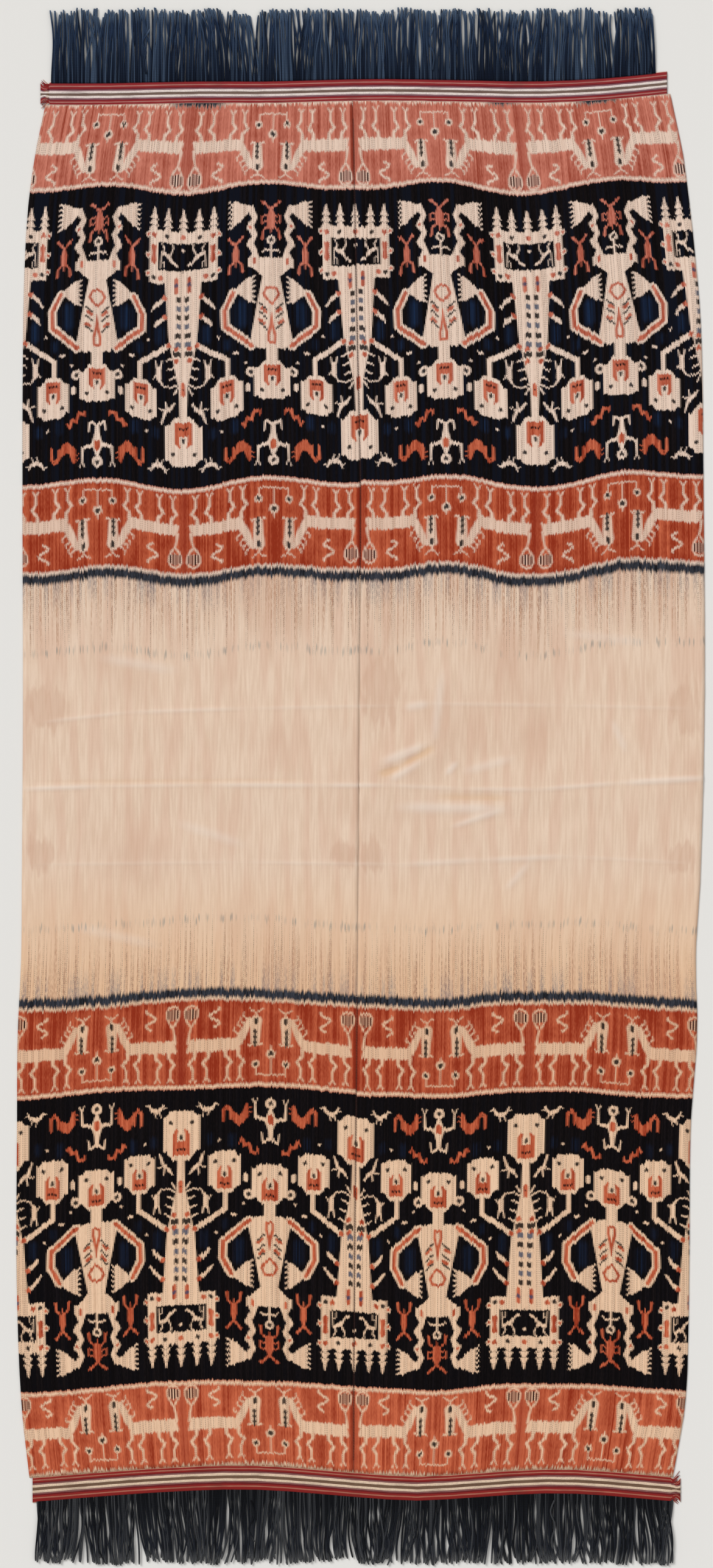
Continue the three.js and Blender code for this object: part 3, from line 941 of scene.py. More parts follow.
class Warp:
    """Places and tones of the dyed warp at a point of the cloth, for one material's nodes."""

    def __init__(self, nodes):
        self.nodes = nodes
        self.x, self.y = nodes.uv("weave")
        chart_x, self.chart_y = nodes.uv("chart")
        thread = nodes.steps(self.x, THREAD)
        self.bundle = nodes.steps(self.x, BUNDLE)
        # Each bundle, and each thread in it, slips a little along the warp
        by_bundle = self.along_noise(self.bundle, 7.31, 0.006) - 0.5
        by_thread = self.along_noise(thread, 5.17, 0.02) - 0.5
        self.slip = by_bundle * BUNDLE_CREEP + by_thread * THREAD_CREEP
        self.along = self.chart_y + self.slip
        self.far = self.slipped(FAR_RAGGED)
        # Shapes step from bundle to bundle
        middle = (self.bundle + 0.5) * BUNDLE
        self.across = nodes.math("PINGPONG", chart_x + (middle - self.x), HALF_REPEAT)
        # Tones run along the threads
        self.streak = self.along_noise(self.bundle, 3.7, 0.004)
        self.broad = self.along_noise(self.x, 0.13, 0.0016)
        self.grain = self.along_noise(thread, 1.9, 0.16)
        self.tone = nodes.clamp(self.streak * 0.9 + nodes.chance(thread) * 0.4 + self.grain * 0.6 - 0.45)
        # Some bundles carry a dotted dark hairline, with the dots at places of their own
        lined = nodes.ramp(self.bundle_chance(0.5), 0.52, 0.62)
        core = nodes.ramp(nodes.wave(self.x, BUNDLE), 0.2, 0.8)
        dots = nodes.wave(self.y + self.bundle_chance(0.75) * 20, HAIRLINE_PITCH)
        self.hairline = lined * core * nodes.ramp(dots, -0.5, 0.5, 0.25, 1)

    def slipped(self, ragged):
        """Places along the warp where the bundles slip further than the shapes do."""
        return self.along + self.slip * ragged

    def along_noise(self, across, across_rate, along_rate):
        """Smooth noise, drawn out along the warp."""
        return self.nodes.noise(across * across_rate, self.y * along_rate)

    def bundle_chance(self, draw):
        """An even random share for each bundle, another one for each draw between 0 and 1."""
        return self.nodes.chance(self.bundle + draw)

    def cover(self, distance, soft=EDGE_SOFT):
        """Share of a point that a shape covers, from its distance."""
        return self.nodes.ramp(distance, soft - EDGE_INSET, -soft - EDGE_INSET)

    def strip(self, start, end, place, soft=EDGE_SOFT):
        """Share inside a strip from start to end."""
        return self.cover(self.nodes.math("MAXIMUM", start - place, place - end), soft)

    def red(self, lift):
        """Madder in soft streaks with some dark bundles, rosier towards the upper end of the cloth and
        deeper beside its middle. Lift makes it paler."""
        nodes = self.nodes
        dark = nodes.ramp(self.bundle_chance(0.25), 0.86, 0.95, 0, 0.3)
        deep = nodes.ramp(self.chart_y, INNER_START - 40, INNER_START, 0, 0.28)
        tone = nodes.clamp(self.broad * 0.8 + self.tone * 0.9 + lift - 0.33 - dark - deep)
        rosy = nodes.ramp(self.y, 500, 960)
        return nodes.mix(rosy, nodes.mix(tone, *RUST_TONES), nodes.mix(tone, *ROSE_TONES))

    def cream(self):
        """Undyed threads of a motif, yellower at the lower end."""
        nodes = self.nodes
        shade = nodes.ramp(self.tone, 0.3, 1.1)
        high = nodes.ramp(self.y, -400, 400)
        colour = nodes.mix(high, nodes.mix(shade, *CREAM_LOWER), nodes.mix(shade, *CREAM_UPPER))
        return nodes.mix(self.hairline * 0.85, colour, HAIRLINE_TONE)

    def ink(self):
        """Black-brown with indigo showing through in streaks, mostly in the upper half."""
        nodes = self.nodes
        black = nodes.mix(nodes.ramp(self.tone, 0.35, 1), *INK_TONES)
        cold = nodes.ramp(self.broad, 0.45, 0.7) * nodes.ramp(self.y, -400, 400, 0.1, 0.8)
        return nodes.mix(cold, black, INDIGO_TONE)

    def shapes(self, chart, dye, along):
        """Distance from a chart's shapes of one dye."""
        group = chart_group(dye, chart.lines[dye], chart.blocks[dye])
        return self.nodes.value("ShaderNodeGroup", (self.across, along), node_tree=group)

    def draw(self, colour, distance, paint, soft=EDGE_SOFT, strength=1):
        """Paints shapes over a colour, from their distance."""
        return self.nodes.mix(self.cover(distance, soft) * strength, colour, paint)


def paint_runs(warp, colour):
    """Dye that ran from the navy line into the undyed middle: smears beside it, then brown streaks and
    dotted lines, each bundle's of its own length."""
    nodes = warp.nodes
    shortest, longest = RUN_LENGTHS
    end = nodes.ramp(warp.bundle_chance(0.35), 0, 1, PLAIN_START + shortest, PLAIN_START + longest)
    left = nodes.ramp(end - warp.chart_y, -20, 50)
    stained = left * nodes.ramp(warp.bundle_chance(0.65), 0.3, 1, 0, 0.9)
    patchy = nodes.ramp(warp.grain, 0.3, 0.6, 0.3, 1)
    colour = nodes.mix(stained * patchy, colour, RUN_TONE)
    colour = nodes.mix(warp.hairline * left * patchy, colour, RUN_LINE)
    near = nodes.ramp(warp.far, PLAIN_START + 45, PLAIN_START)
    smear = near * nodes.ramp(warp.broad, 0.48, 0.66, 0, 0.6)
    return nodes.mix(smear * patchy, colour, SMEAR_TONE)


def paint_blots(warp, colour):
    """Faint ragged blots, and clouds of the same tone."""
    nodes = warp.nodes
    wander = nodes.noise(warp.x * 0.1, warp.y * 0.018, 2)
    nearest = 3
    for x, y, wide, tall in BLOTS:
        place = nodes.combine((warp.x - x) / wide, (warp.y - y) / tall)
        nearest = nodes.math("MINIMUM", nearest, nodes.vector("DISTANCE", place, (0, 0, 0)))
    edge = nearest + wander * 1.6 - 1
    colour = nodes.mix(nodes.ramp(edge, 1, 0.6, 0, 0.36), colour, STAIN_TONE)
    cloud = nodes.noise(warp.x * 0.006, warp.y * 0.004, 3)
    return nodes.mix(nodes.ramp(cloud, 0.5, 0.75, 0, 0.3), colour, STAIN_TONE)


def paint_plain(warp):
    """The undyed middle: cream with runs of dye, a row of flecks, blots, and painted highlights on the crease
    ridges and painted shade in their troughs.
    """
    nodes = warp.nodes
    soft = warp.along_noise(warp.x, 0.3, 0.02)
    tone = nodes.clamp(warp.tone * 0.5 + nodes.ramp(soft, 0.3, 0.7, -0.1, 0.5))
    colour = nodes.mix(tone, *PLAIN_TONES)
    pink = nodes.ramp(warp.along_noise(warp.x, 0.06, 0.007), 0.45, 0.75, 0, 0.4)
    colour = nodes.mix(pink, colour, PINK_PLAIN)
    colour = nodes.mix(nodes.ramp(warp.y, -130, -330, 0, 0.7), colour, WARM_PLAIN)
    colour = paint_runs(warp, colour)
    flecks = warp.strip(FLECK_LINE - 6, FLECK_LINE + 6, warp.far, 3)
    flecks = flecks * nodes.ramp(warp.bundle_chance(0.4), 0.5, 0.95, 0, 0.6)
    flecks = flecks * nodes.ramp(warp.broad, 0.4, 0.6, 0.25, 1)
    colour = paint_blots(warp, nodes.mix(flecks, colour, FLECK_TONE))
    # Painted highlight on the crease ridges and painted shade in their troughs, from the crease heights
    relief = nodes.uv("relief")[0]
    colour = nodes.mix(nodes.ramp(relief, 0.1, 1.2, 0, 0.4), colour, RIDGE_HIGHLIGHT_TONE)
    return nodes.mix(nodes.ramp(relief, -0.1, -1, 0, 0.5), colour, TROUGH_SHADE_TONE)


def paint_horses(warp, chart):
    """The red bands of horses with the lines beside them."""
    nodes = warp.nodes
    cream = warp.cream()
    ink = warp.ink()
    inner = nodes.math("GREATER_THAN", warp.chart_y, BETWEEN_HORSES)
    along = warp.along - inner * INNER_START
    horses = warp.shapes(chart, CREAM, along)
    # The red is paler round the horses. The deeper red between their tails is painted shade of a soft fold.
    red = warp.red(nodes.ramp(horses, 2, 16, 0.2, -0.14))
    red = nodes.mix(nodes.ramp(warp.across, 8, 3, 0, 0.4), red, FOLD_SHADE_RED)
    tinted = nodes.mix(inner * 0.2, cream, HORSE_TINT)
    colour = warp.draw(red, horses, tinted, 1.5, 0.96)
    colour = warp.draw(colour, warp.shapes(chart, INK, along), ink, EDGE_SOFT, 0.94)
    colour = nodes.mix(warp.strip(DARK_START, INNER_START, warp.along), colour, ink)
    for start, end, ragged in PALE_LINES:
        colour = nodes.mix(warp.strip(start, end, warp.slipped(ragged), 2.4), colour, cream)
    navy = nodes.mix(warp.tone, *NAVY_TONES)
    patches = 0
    for start, end in NAVY_PATCHES:
        patches = nodes.math("MAXIMUM", patches, warp.strip(start, end, warp.x, 12))
    upper = nodes.math("GREATER_THAN", warp.y, 0)
    colour = nodes.mix(patches * upper * nodes.ramp(warp.far, 6, 1), colour, navy)
    colour = nodes.mix(warp.strip(NAVY_START, PLAIN_START + 4, warp.far, 3), colour, navy)
    return nodes.mix(nodes.ramp(warp.far, PLAIN_START - 3, PLAIN_START + 3), colour, paint_plain(warp))


def paint_figures(warp, chart):
    """The dark band with its trees, figures and small animals."""
    nodes = warp.nodes
    ink = warp.ink()
    patchy = nodes.ramp(warp.streak, 0.3, 0.7, 0.1, 0.9) * nodes.ramp(warp.y, -300, 300, 0.5, 1)
    # Dye, its colour, how soft its edges are and how strong it is, from the bottom layer up
    paints = (
        (BLUE, BLUE_TONE, 5, patchy),
        (CREAM, warp.cream(), EDGE_SOFT, 1),
        (RED, warp.red(0.1), EDGE_SOFT, 1),
        (STEEL, STEEL_TONE, EDGE_SOFT, 0.85),
        (INK, ink, EDGE_SOFT, 0.95),
    )
    along = warp.along - DARK_START
    colour = ink
    for dye, paint, soft, strength in paints:
        colour = warp.draw(colour, warp.shapes(chart, dye, along), paint, soft, strength)
    return colour


def ikat_material(name, paint, *charts):
    """Warp ikat: bundles of warp dyed before weaving, so edges are stepped across and feathered along."""
    material, nodes, shader = new_material(name)
    warp = Warp(nodes)
    colour = paint(warp, *charts)
    height = weave_height(nodes, warp.x, warp.y, THREAD, PICK)
    finish_cloth(nodes, shader, colour, height, IKAT_RELIEF)
    return material


# Striped bands across the ends: share of the width where each stripe starts, from the fringe inwards,
# its colour and how far its threads stand up, in millimetres
BAND_RED = srgb(150, 42, 46)
BAND_DARK = srgb(112, 32, 42)
BAND_PALE = srgb(214, 166, 152)
BAND_MAUVE = srgb(142, 104, 112)
BAND_WHITE = srgb(243, 228, 220)
BAND_TAUPE = srgb(122, 103, 92)
BAND_SOIL = srgb(84, 54, 52)
BAND_YELLOW = srgb(245, 231, 208)
STRIPES = (
    (0, BAND_PALE, 0.1),
    (0.025, BAND_RED, 0.5),
    (0.275, BAND_DARK, 0.3),
    (0.33, BAND_MAUVE, 0),
    (0.39, BAND_WHITE, 0.6),
    (0.485, BAND_TAUPE, 0.1),
    (0.605, BAND_WHITE, 0.6),
    (0.7, BAND_MAUVE, 0),
    (0.765, BAND_DARK, 0.3),
    (0.8, BAND_RED, 0.5),
    (0.98, BAND_PALE, 0.1),
)
ZIGZAG_LINES = (0.18, 0.885)
ZIGZAG_PITCH = 2.8
ZIGZAG_SLANT = 60
ZIGZAG_HALF_WIDTH = 0.03
BAND_THREAD = 0.0125
BAND_WIDTH = 39
BAND_RIB = 0.9
BAND_PICK = 1.6
BAND_STEPS_ALONG = 460
BAND_STEPS_ACROSS = 44
BAND_BASE = 1.7
BAND_CROWN = 0.5
BAND_RIPPLE = 0.12
RIPPLE_WAVES = (17, 29, 46)
BAND_THICKNESS = 1.1
BAND_END_MARGIN = 0.6
BAND_RELIEF = 0.3


def stripe_heights(share):
    """Relief of the stripes across a band, with each stripe rounded."""
    ends = [row[0] for row in STRIPES[1:]] + [1]
    relief = np.zeros_like(share)
    for (start, _, height), end in zip(STRIPES, ends):
        inside = (share >= start) & (share <= end)
        across = (share[inside] - start) / (end - start)
        relief[inside] = height * rounded(across)
    return relief


def rounded(share):
    """Half a circle's rise over shares from 0 to 1."""
    return np.sqrt(np.maximum(4 * share * (1 - share), 0))


def stripe_colour(nodes, share):
    """Colour of the stripe at a share across the band."""
    node = nodes.add("ShaderNodeValToRGB", (share,))
    stops = node.color_ramp
    stops.interpolation = "CONSTANT"
    while len(stops.elements) < len(STRIPES):
        stops.elements.new(1)
    for element, (start, colour, _) in zip(stops.elements, STRIPES):
        element.position = start
        element.color = colour
    return Value(nodes, node.outputs[0])


def band_material(name, warmth):
    """Warp-faced stripes with a pale zigzag in each red one, soiled in patches and yellowed."""
    material, nodes, shader = new_material(name)
    length, share = nodes.uv("weave")
    thread = nodes.steps(share, BAND_THREAD)
    wandered = share + (nodes.noise(length * 0.05, thread * 3.3) - 0.5) * 0.02
    colour = stripe_colour(nodes, wandered)
    # Slanted pale dashes
    dash = nodes.math("PINGPONG", length + share * ZIGZAG_SLANT, 0.5 * ZIGZAG_PITCH)
    dash = nodes.ramp(dash, 0.32 * ZIGZAG_PITCH, 0.18 * ZIGZAG_PITCH, 0.12, 0.85)
    for middle in ZIGZAG_LINES:
        away = nodes.math("ABSOLUTE", wandered - middle)
        line = nodes.ramp(away, ZIGZAG_HALF_WIDTH, 0.6 * ZIGZAG_HALF_WIDTH)
        colour = nodes.mix(line * dash, colour, BAND_PALE)
    worn = nodes.noise(length * 0.02, share * 3, 3)
    colour = nodes.mix(nodes.ramp(worn, 0.5, 0.8, 0, 0.3), colour, BAND_SOIL)
    grain = nodes.noise(length * 0.8, thread * 2.7)
    colour = nodes.mix(nodes.ramp(grain, 0.4, 0.75, 0, 0.35), colour, BAND_SOIL)
    colour = nodes.mix(warmth, colour, BAND_YELLOW, "MULTIPLY")
    height = weave_height(nodes, share * BAND_WIDTH, length, BAND_RIB, BAND_PICK)
    finish_cloth(nodes, shader, colour, height, BAND_RELIEF)
    return material


def band_edges(name):
    """Stations along a band in metres, and its lower and upper edge there."""
    low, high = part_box(name)
    margin = BAND_END_MARGIN * MM
    stations = np.linspace(low[0] + margin, high[0] - margin, BAND_STEPS_ALONG + 1)
    return stations, *cut_extents(node_shape(name), 0, stations)


def make_band(name, outer_is_high, seed, material):
    """A striped band with raised threads, on its solid's wavy line."""
    stations, lows, highs = band_edges(name)
    x, q = np.meshgrid(stations, np.linspace(0, 1, BAND_STEPS_ACROSS + 1))
    y = lows + q * (highs - lows)
    share = 1 - q if outer_is_high else q
    ripple = BAND_RIPPLE * smooth_noise(x / MM, y / MM, RIPPLE_WAVES, seed)
    rise = (BAND_CROWN + stripe_heights(share) + ripple) * rounded(q)
    z = (BAND_BASE - BAND_CROWN + rise) * MM
    top_face = np.stack([x, y, z], axis=2)
    places = np.stack([(x - x.min()) / np.ptp(x), q], axis=2)
    maps = {"weave": np.stack([x / MM, share], axis=2)}
    return sheet_object(name + "_weave", top_face, BAND_THICKNESS * MM, places, maps, [material])


# Fringe cords: how many, how far each waves and each lock leans and bows in millimetres, and how its cords
# gather. Every other cord is in a second layer of locks that lies over the first.
FRINGES = {
    "fringe_upper": {
        "band": "band_upper", "end": 1, "cords": 460, "wave": 2.6, "lean": 5, "bow": 2, "gather": 0.88,
    },
    "fringe_lower": {
        "band": "band_lower", "end": -1, "cords": 480, "wave": 3, "lean": 9, "bow": 5, "gather": 0.86,
    },
}
LOCK_LAYERS = 2
LAYER_RISE = 0.8
LOCK_SIZES = (4, 12)
LOCK_LUCK = 0.3
GATHER_SPREAD = 0.16
GATHER_LIMITS = (0.25, 1.2)
CORD_SIDES = 6
CORD_STEPS = 30
CORD_RADIUS = 1.45
CORD_TWIST = 5.5
CORD_RELIEF = 0.4
CORD_WAVES = (1, 2.4)
FLOOR_GAP = 0.05
MIDDLE_LIFT = 1.6
TIP_LIFT = 1.2
TIP_SPREAD = 1.4
SHORT_SPREAD = 0.045
LEAN_POWER = 1.5
ROOT_INSET = 3
ROOT_SPREAD = 0.3
ROOT_TUCK = 1.5
STRAND_REACH = 12
STRAND_CUTS = 900
# Root, body and tip of a cord
CORD_TONES = {
    "fringe_upper": (srgb(15, 21, 34), srgb(36, 51, 75), srgb(86, 104, 126)),
    "fringe_lower": (srgb(15, 16, 19), srgb(33, 36, 43), srgb(88, 89, 90)),
}
# Cords that lie loose on top of the others: points across and along, in millimetres
LOOSE_CORDS = {
    "fringe_upper": (
        ((-352, 1170), (-358, 1192), (-348, 1206), (-362, 1220), (-350, 1234), (-346, 1243)),
        ((118, 1176), (122, 1200), (112, 1222), (119, 1246)),
        ((474, 1172), (478, 1200), (470, 1230), (472, 1262)),
    ),
    "fringe_lower": (
        ((-180, -1172), (-172, -1196), (-186, -1218), (-174, -1240)),
        ((318, -1172), (309, -1192), (322, -1212), (312, -1236), (317, -1252)),
    ),
}
LOOSE_HEIGHT = 3.2 * CORD_RADIUS
LOOSE_ROUNDS = 12


def tube(path, radius, sides, taper_steps=2):
    """Points and quads of a round cord along a path, drawn in at its far end and closed at both."""
    ahead = np.gradient(path, axis=0)
    ahead /= np.linalg.norm(ahead, axis=1)[:, None]
    side = np.cross(ahead, np.array([0, 0, 1]))
    side /= np.linalg.norm(side, axis=1)[:, None]
    up = np.cross(side, ahead)
    width = np.full(len(path), radius)
    width[-taper_steps:] *= np.linspace(1, 0.75, taper_steps)
    turn = np.arange(sides) * 2 * math.pi / sides
    ring = side[:, None] * np.cos(turn)[None, :, None] + up[:, None] * np.sin(turn)[None, :, None]
    points = path[:, None] + ring * width[:, None, None]
    index = np.arange(len(path) * sides).reshape(len(path), sides)
    near, far = index[:-1], index[1:]
    walls = np.stack([near, far, np.roll(far, -1, axis=1), np.roll(near, -1, axis=1)], axis=2)
    caps = []
    for corner in range(1, sides - 2, 2):
        quad = [0, corner, corner + 1, corner + 2]
        caps.append(index[0, quad])
        caps.append(index[-1, quad[::-1]])
    return points.reshape(-1, 3), np.concatenate([walls.reshape(-1, 4), caps])


class CordMesh:
    """Gathers many cords into one mesh with their maps."""

    def __init__(self):
        self.points, self.faces, self.weave, self.cord = [], [], [], []
        self.count = 0

    def add(self, path, radius, sides, luck):
        """Adds a cord. Its weave map runs round and along it, its cord map keeps luck and share along."""
        points, quads = tube(path, radius, sides)
        along = np.concatenate([[0], np.cumsum(np.linalg.norm(np.diff(path, axis=0), axis=1))])
        step, turn = np.divmod(quads, sides)
        # The last wall of each ring closes on the first, one whole turn on
        turn = np.where((turn == 0) & (turn.max(axis=1) == sides - 1)[:, None], sides, turn)
        self.weave.append(np.stack([turn / sides, along[step] / MM], axis=2).reshape(-1, 2))
        lucks = np.full(step.shape, luck)
        self.cord.append(np.stack([lucks, along[step] / along[-1]], axis=2).reshape(-1, 2))
        self.points.append(points)
        self.faces.append(quads + self.count)
        self.count += len(points)

    def build(self, name, material):
        maps = {"weave": np.concatenate(self.weave), "cord": np.concatenate(self.cord)}
        return make_object(name, np.concatenate(self.points), np.concatenate(self.faces), maps, [material])


def twist_height(nodes, lay, rate):
    """Ridges of the threads that wind round a cord."""
    around, along = nodes.uv("weave")
    return nodes.math("SINE", (around + along * lay) * rate)


def cord_material(name, tones):
    """Twisted indigo cotton, paler and worn towards its tip, with painted shade in the grooves of its twist.
    """
    root, body, tip = tones
    material, nodes, shader = new_material(name)
    luck, share = nodes.uv("cord")
    colour = nodes.mix(nodes.ramp(share, 0, 0.7), root, body)
    colour = nodes.mix(nodes.ramp(share, 0.82, 1), colour, tip)
    faded = nodes.mix(0.5, body, tip)
    colour = nodes.mix(nodes.ramp(luck, 0.5, 0.85, 0, 0.85), colour, faded)
    colour = nodes.mix(nodes.ramp(luck, 0.45, 0.1, 0, 0.8), colour, root)
    twist = twist_height(nodes, 1 / CORD_TWIST, 4 * math.pi)
    # Painted shade in the grooves of the twist, in the root's dark tone
    colour = nodes.mix(nodes.ramp(twist, -0.2, -1, 0, 0.45), colour, root)
    finish_cloth(nodes, shader, colour, twist, CORD_RELIEF)
    return material


def fringe_reach(name, end, stations):
    """How far the solid's strands reach, beside each station."""
    low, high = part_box(name)
    fine = np.linspace(low[0] + MM, high[0] - MM, STRAND_CUTS)
    lows, highs = cut_extents(node_shape(name), 0, fine)
    tips = highs if end > 0 else -lows
    return np.array([tips[np.abs(fine - at) < STRAND_REACH * MM].max() for at in stations])


def smooth_path(points, count):
    """Places on a smooth curve through a few points, by corner rounding."""
    share = np.linspace(0, 1, count)
    known = np.linspace(0, 1, len(points))
    places = np.column_stack([np.interp(share, known, column) for column in points.T])
    for _ in range(LOOSE_ROUNDS):
        places[1:-1] = 0.5 * places[1:-1] + 0.25 * (places[:-2] + places[2:])
    return places


def make_fringe(name, seed, material):
    """Twisted cords in loose locks, lying over each other on the floor."""
    facts = FRINGES[name]
    random = np.random.default_rng(seed)
    low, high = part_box(name)
    stations, lows, highs = band_edges(facts["band"])
    count = facts["cords"]
    inset, tuck = ROOT_INSET * MM, ROOT_TUCK * MM
    roots = np.linspace(low[0] + inset, high[0] - inset, count) + random.normal(0, ROOT_SPREAD, count) * MM
    edge = np.interp(roots, stations, highs if facts["end"] > 0 else -lows)
    reach = fringe_reach(name, facts["end"], roots)
    # Neighbours gather into locks that lean and bow one way
    middles, leans, bows, lock_lucks = np.empty((4, count))
    for layer in range(LOCK_LAYERS):
        layer_cords = np.arange(layer, count, LOCK_LAYERS)
        while len(layer_cords):
            size = int(random.integers(*LOCK_SIZES))
            lock, layer_cords = layer_cords[:size], layer_cords[size:]
            middles[lock] = roots[lock].mean()
            leans[lock] = random.normal(0, facts["lean"]) * MM
            bows[lock] = random.normal(0, facts["bow"]) * MM
            lock_lucks[lock] = random.random()
    share = np.linspace(0, 1, CORD_STEPS)
    hump = np.sin(share * math.pi)
    cords = CordMesh()
    for i in range(count):
        gather = np.clip(random.normal(facts["gather"], GATHER_SPREAD), *GATHER_LIMITS)
        tip = middles[i] + (roots[i] - middles[i]) * gather + leans[i] + random.normal(0, TIP_SPREAD) * MM
        tip = np.clip(tip, low[0] + MM, high[0] - MM)
        length = (reach[i] - edge[i]) * (1 - abs(random.normal(0, SHORT_SPREAD)))
        swing = facts["wave"] * MM * random.normal(0, 1)
        wave = swing * np.sin(share * math.pi * random.uniform(*CORD_WAVES)) + bows[i] * hump
        x = roots[i] + (tip - roots[i]) * share**LEAN_POWER + wave * share
        y = facts["end"] * (edge[i] - tuck + share * (length + tuck))
        lift = random.uniform(0, MIDDLE_LIFT) * hump + random.uniform(0, TIP_LIFT) * share
        z = (CORD_RADIUS + FLOOR_GAP + lift + LAYER_RISE * (i % LOCK_LAYERS) * share) * MM
        luck = (1 - LOCK_LUCK) * random.random() + LOCK_LUCK * lock_lucks[i]
        cords.add(np.stack([x, y, z], axis=1), CORD_RADIUS * MM, CORD_SIDES, luck)
    for points in LOOSE_CORDS[name]:
        places = smooth_path(np.array(points) * MM, CORD_STEPS)
        z = np.full(CORD_STEPS, LOOSE_HEIGHT * MM)
        cords.add(np.column_stack([places, z]), CORD_RADIUS * MM, CORD_SIDES, random.random())
    return cords.build(name + "_cords", material)


# Whipped seam between the two panels. Its cotton is dark with dye except in the undyed middle.
STITCH_PITCH = 2.6
STITCH_HALF = 1.7
STITCH_SPREAD = (0.85, 1.15)
STITCH_SLANT = 0.8
STITCH_ARCH = 0.35
STITCH_SUNK = 0.1
STITCH_RADIUS = 0.34
STITCH_SIDES = 4
STITCH_STEPS = 5
STITCH_RELIEF = 0.1
STITCH_TONES = (srgb(68, 38, 33), srgb(214, 184, 160))
SEAM_ENDS = 30
BESIDE_SEAM = 3
PALE_STITCHES = 346
PALE_LUCK = 0.7


def stitch_material():
    """Sewing cotton in its two tones."""
    material, nodes, shader = new_material("sewing_cotton")
    luck = nodes.uv("cord")[0]
    colour = nodes.mix(nodes.ramp(luck, 1 - PALE_LUCK, PALE_LUCK), *STITCH_TONES)
    finish_cloth(nodes, shader, colour, twist_height(nodes, 1, 6), STITCH_RELIEF)
    return material


def make_seam(material):
    """Small slanted stitches that join the panels from end to end."""
    left_shape, right_shape = node_shape("panel_left"), node_shape("panel_right")
    low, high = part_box("panel_left")
    first, last = low[1] + SEAM_ENDS * MM, high[1] - SEAM_ENDS * MM
    stations = np.linspace(first, last, int((last - first) / (STITCH_PITCH * MM)))
    seam = 0.5 * (cut_extents(left_shape, 1, stations)[1] + cut_extents(right_shape, 1, stations)[0])
    heights = surface_heights(left_shape, (seam - BESIDE_SEAM * MM)[:, None], stations[:, None])[:, 0]
    random = np.random.default_rng(SEED + 3)
    stitches = CordMesh()
    share = np.linspace(-1, 1, STITCH_STEPS)
    rise = (STITCH_ARCH * (1 - share**2) - STITCH_SUNK) * MM
    for x, y, z in zip(seam, stations, heights):
        reach = STITCH_HALF * random.uniform(*STITCH_SPREAD) * MM
        path = np.stack([x + share * reach, y + share * STITCH_SLANT * MM, z + rise], axis=1)
        pale = PALE_LUCK if abs(y) < PALE_STITCHES * MM else 0
        stitches.add(path, STITCH_RADIUS * MM, STITCH_SIDES, pale + random.uniform(0, 1 - PALE_LUCK))
    return stitches.build("seam_stitches", material)


# Tied ends of the bands, where the stripes' own threads stick out: band and side
TUFTS = (("band_upper", -1), ("band_lower", 1))
TUFT_THREADS = 40
TUFT_LENGTH = 13
TUFT_BEYOND = 6
TUFT_STEPS = 7
TUFT_ROOT_STATION = 6
TUFT_RADIUS = 0.5
TUFT_RELIEF = 0.15
TUFT_FAN = 1.3
TUFT_SPREAD = 0.25
TUFT_LENGTHS = (0.6, 1)
TUFT_CURVE = 1.4
TUFT_HEIGHT = 1.5
TUFT_LIFT = 0.7
TUFT_DROP = 0.9


def tuft_material():
    """Loose threads of the bands, each in its stripe's colour."""
    material, nodes, shader = new_material("band_threads")
    stripe, share = nodes.uv("cord")
    colour = nodes.mix(1, stripe_colour(nodes, stripe), BAND_YELLOW, "MULTIPLY")
    colour = nodes.mix(nodes.ramp(share, 0.3, 1, 0.1, 0.45), colour, BAND_SOIL)
    finish_cloth(nodes, shader, colour, twist_height(nodes, 1, 4), TUFT_RELIEF)
    return material


def make_tufts(material):
    """Short loose threads at the tied ends of the bands, in the stripes' colours."""
    random = np.random.default_rng(SEED + 4)
    threads = CordMesh()
    share = np.linspace(0, 1, TUFT_STEPS)
    for band, side in TUFTS:
        low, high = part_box(band)
        stations, lows, highs = band_edges(band)
        root = TUFT_ROOT_STATION if side < 0 else -1 - TUFT_ROOT_STATION
        for i in range(TUFT_THREADS):
            q = (i + 0.5) / TUFT_THREADS
            spread = (q - 0.5) * TUFT_FAN + random.normal(0, TUFT_SPREAD)
            reach = TUFT_LENGTH * random.uniform(*TUFT_LENGTHS) * MM
            x = stations[root] + side * reach * share
            x = np.clip(x, low[0] - TUFT_BEYOND * MM, high[0] + TUFT_BEYOND * MM)
            y = lows[root] + q * (highs[root] - lows[root]) + reach * spread * share**TUFT_CURVE
            z = (TUFT_HEIGHT + random.uniform(0, TUFT_LIFT) - TUFT_DROP * share) * MM
            band_share = 1 - q if band == "band_upper" else q
            threads.add(np.stack([x, y, z], axis=1), TUFT_RADIUS * MM, CORD_SIDES, band_share)
    return threads.build("band_tufts", material)


# Camera, floor and light, in metres
FRAME_HEIGHT = 2.576
FRAME_MIDDLE = (-0.00665, 0.004)
CAMERA_HEIGHT = 6
FLOOR_SIZE = 24
FLOOR_DROP = 0.0004
FLOOR_TONE = srgb(226, 224, 220)
SKY_STRENGTH = 0.42
# Direction each soft light comes from, its spread in degrees and its strength
LIGHTS = (
    ("key", (-1, 1, 1.1), 25, 2.2),
    ("fill", (1, -0.6, 1.4), 60, 0.65),
)


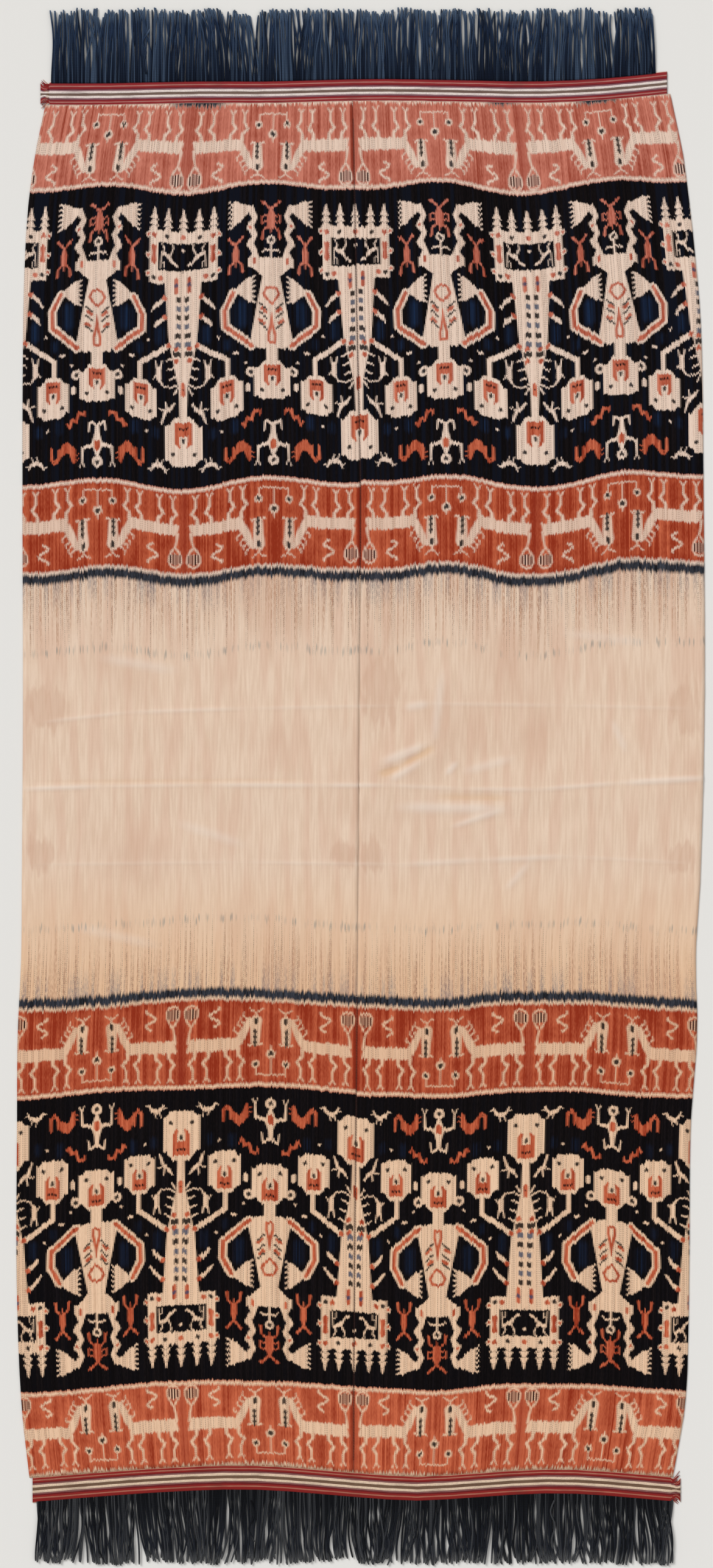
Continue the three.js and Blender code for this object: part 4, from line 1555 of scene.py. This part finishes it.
def make_stage():
    """Pale floor, soft light from two sides and a camera straight above."""
    bpy.ops.mesh.primitive_plane_add(size=FLOOR_SIZE, location=(0, 0, -FLOOR_DROP))
    floor = bpy.context.object
    floor.name = "floor"
    material, _, shader = new_material("pale_floor")
    shader.inputs["Base Color"].default_value = FLOOR_TONE
    shader.inputs["Roughness"].default_value = 0.9
    floor.data.materials.append(material)

    world = bpy.data.worlds.new("studio")
    world.use_nodes = True
    sky = world.node_tree.nodes["Background"]
    sky.inputs["Color"].default_value = (1, 1, 1, 1)
    sky.inputs["Strength"].default_value = SKY_STRENGTH
    bpy.context.scene.world = world
    for name, source, spread, strength in LIGHTS:
        light = bpy.data.lights.new(name, "SUN")
        light.angle = math.radians(spread)
        light.energy = strength
        lamp = bpy.data.objects.new(name, light)
        lamp.location = source
        lamp.rotation_euler = Vector(source).to_track_quat("Z", "Y").to_euler()
        bpy.context.collection.objects.link(lamp)

    camera = bpy.data.cameras.new("camera")
    camera.lens = camera.sensor_width * CAMERA_HEIGHT / FRAME_HEIGHT
    eye = bpy.data.objects.new("camera", camera)
    eye.location = (*FRAME_MIDDLE, CAMERA_HEIGHT)
    bpy.context.collection.objects.link(eye)
    bpy.context.scene.camera = eye
    bpy.context.scene.view_settings.view_transform = "Standard"


def settle(piece, slot, *nodes):
    """Hides the solid's nodes that a piece replaces, if any, and attaches the piece to the root. The slot is
    not used.
    """
    if nodes:
        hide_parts(*nodes)
    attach(piece, "root")


dark_chart = Chart()
draw_tree(dark_chart)
draw_figure(dark_chart)
draw_between(dark_chart)
horse_chart = Chart()
draw_horse(horse_chart)

ikat = (
    ikat_material("ikat_horses", paint_horses, horse_chart),
    ikat_material("ikat_figures", paint_figures, dark_chart),
    ikat_material("ikat_plain", paint_plain),
)
settle(make_seam(stitch_material()), "ikat_cloth")
for number, node in enumerate(("panel_left", "panel_right")):
    panel = make_panel(node, SEED + 10 * number, ikat)
    settle(panel, "ikat_cloth", node)

# Each band's node, whether its fringe side is the high one, and how yellowed it is
bands = (("band_upper", True, 0), ("band_lower", False, 1))
for number, (node, outer_is_high, warmth) in enumerate(bands):
    stripes = band_material(node + "_stripes", warmth)
    band = make_band(node, outer_is_high, SEED + 30 + number, stripes)
    settle(band, "band_weave", node)
    _, lows, highs = band_edges(node)
settle(make_tufts(tuft_material()), "band_weave")

for number, node in enumerate(FRINGES):
    cords = make_fringe(node, SEED + 40 + number, cord_material(node + "_cotton", CORD_TONES[node]))
    settle(cords, "fringe_cotton", node)

make_stage()
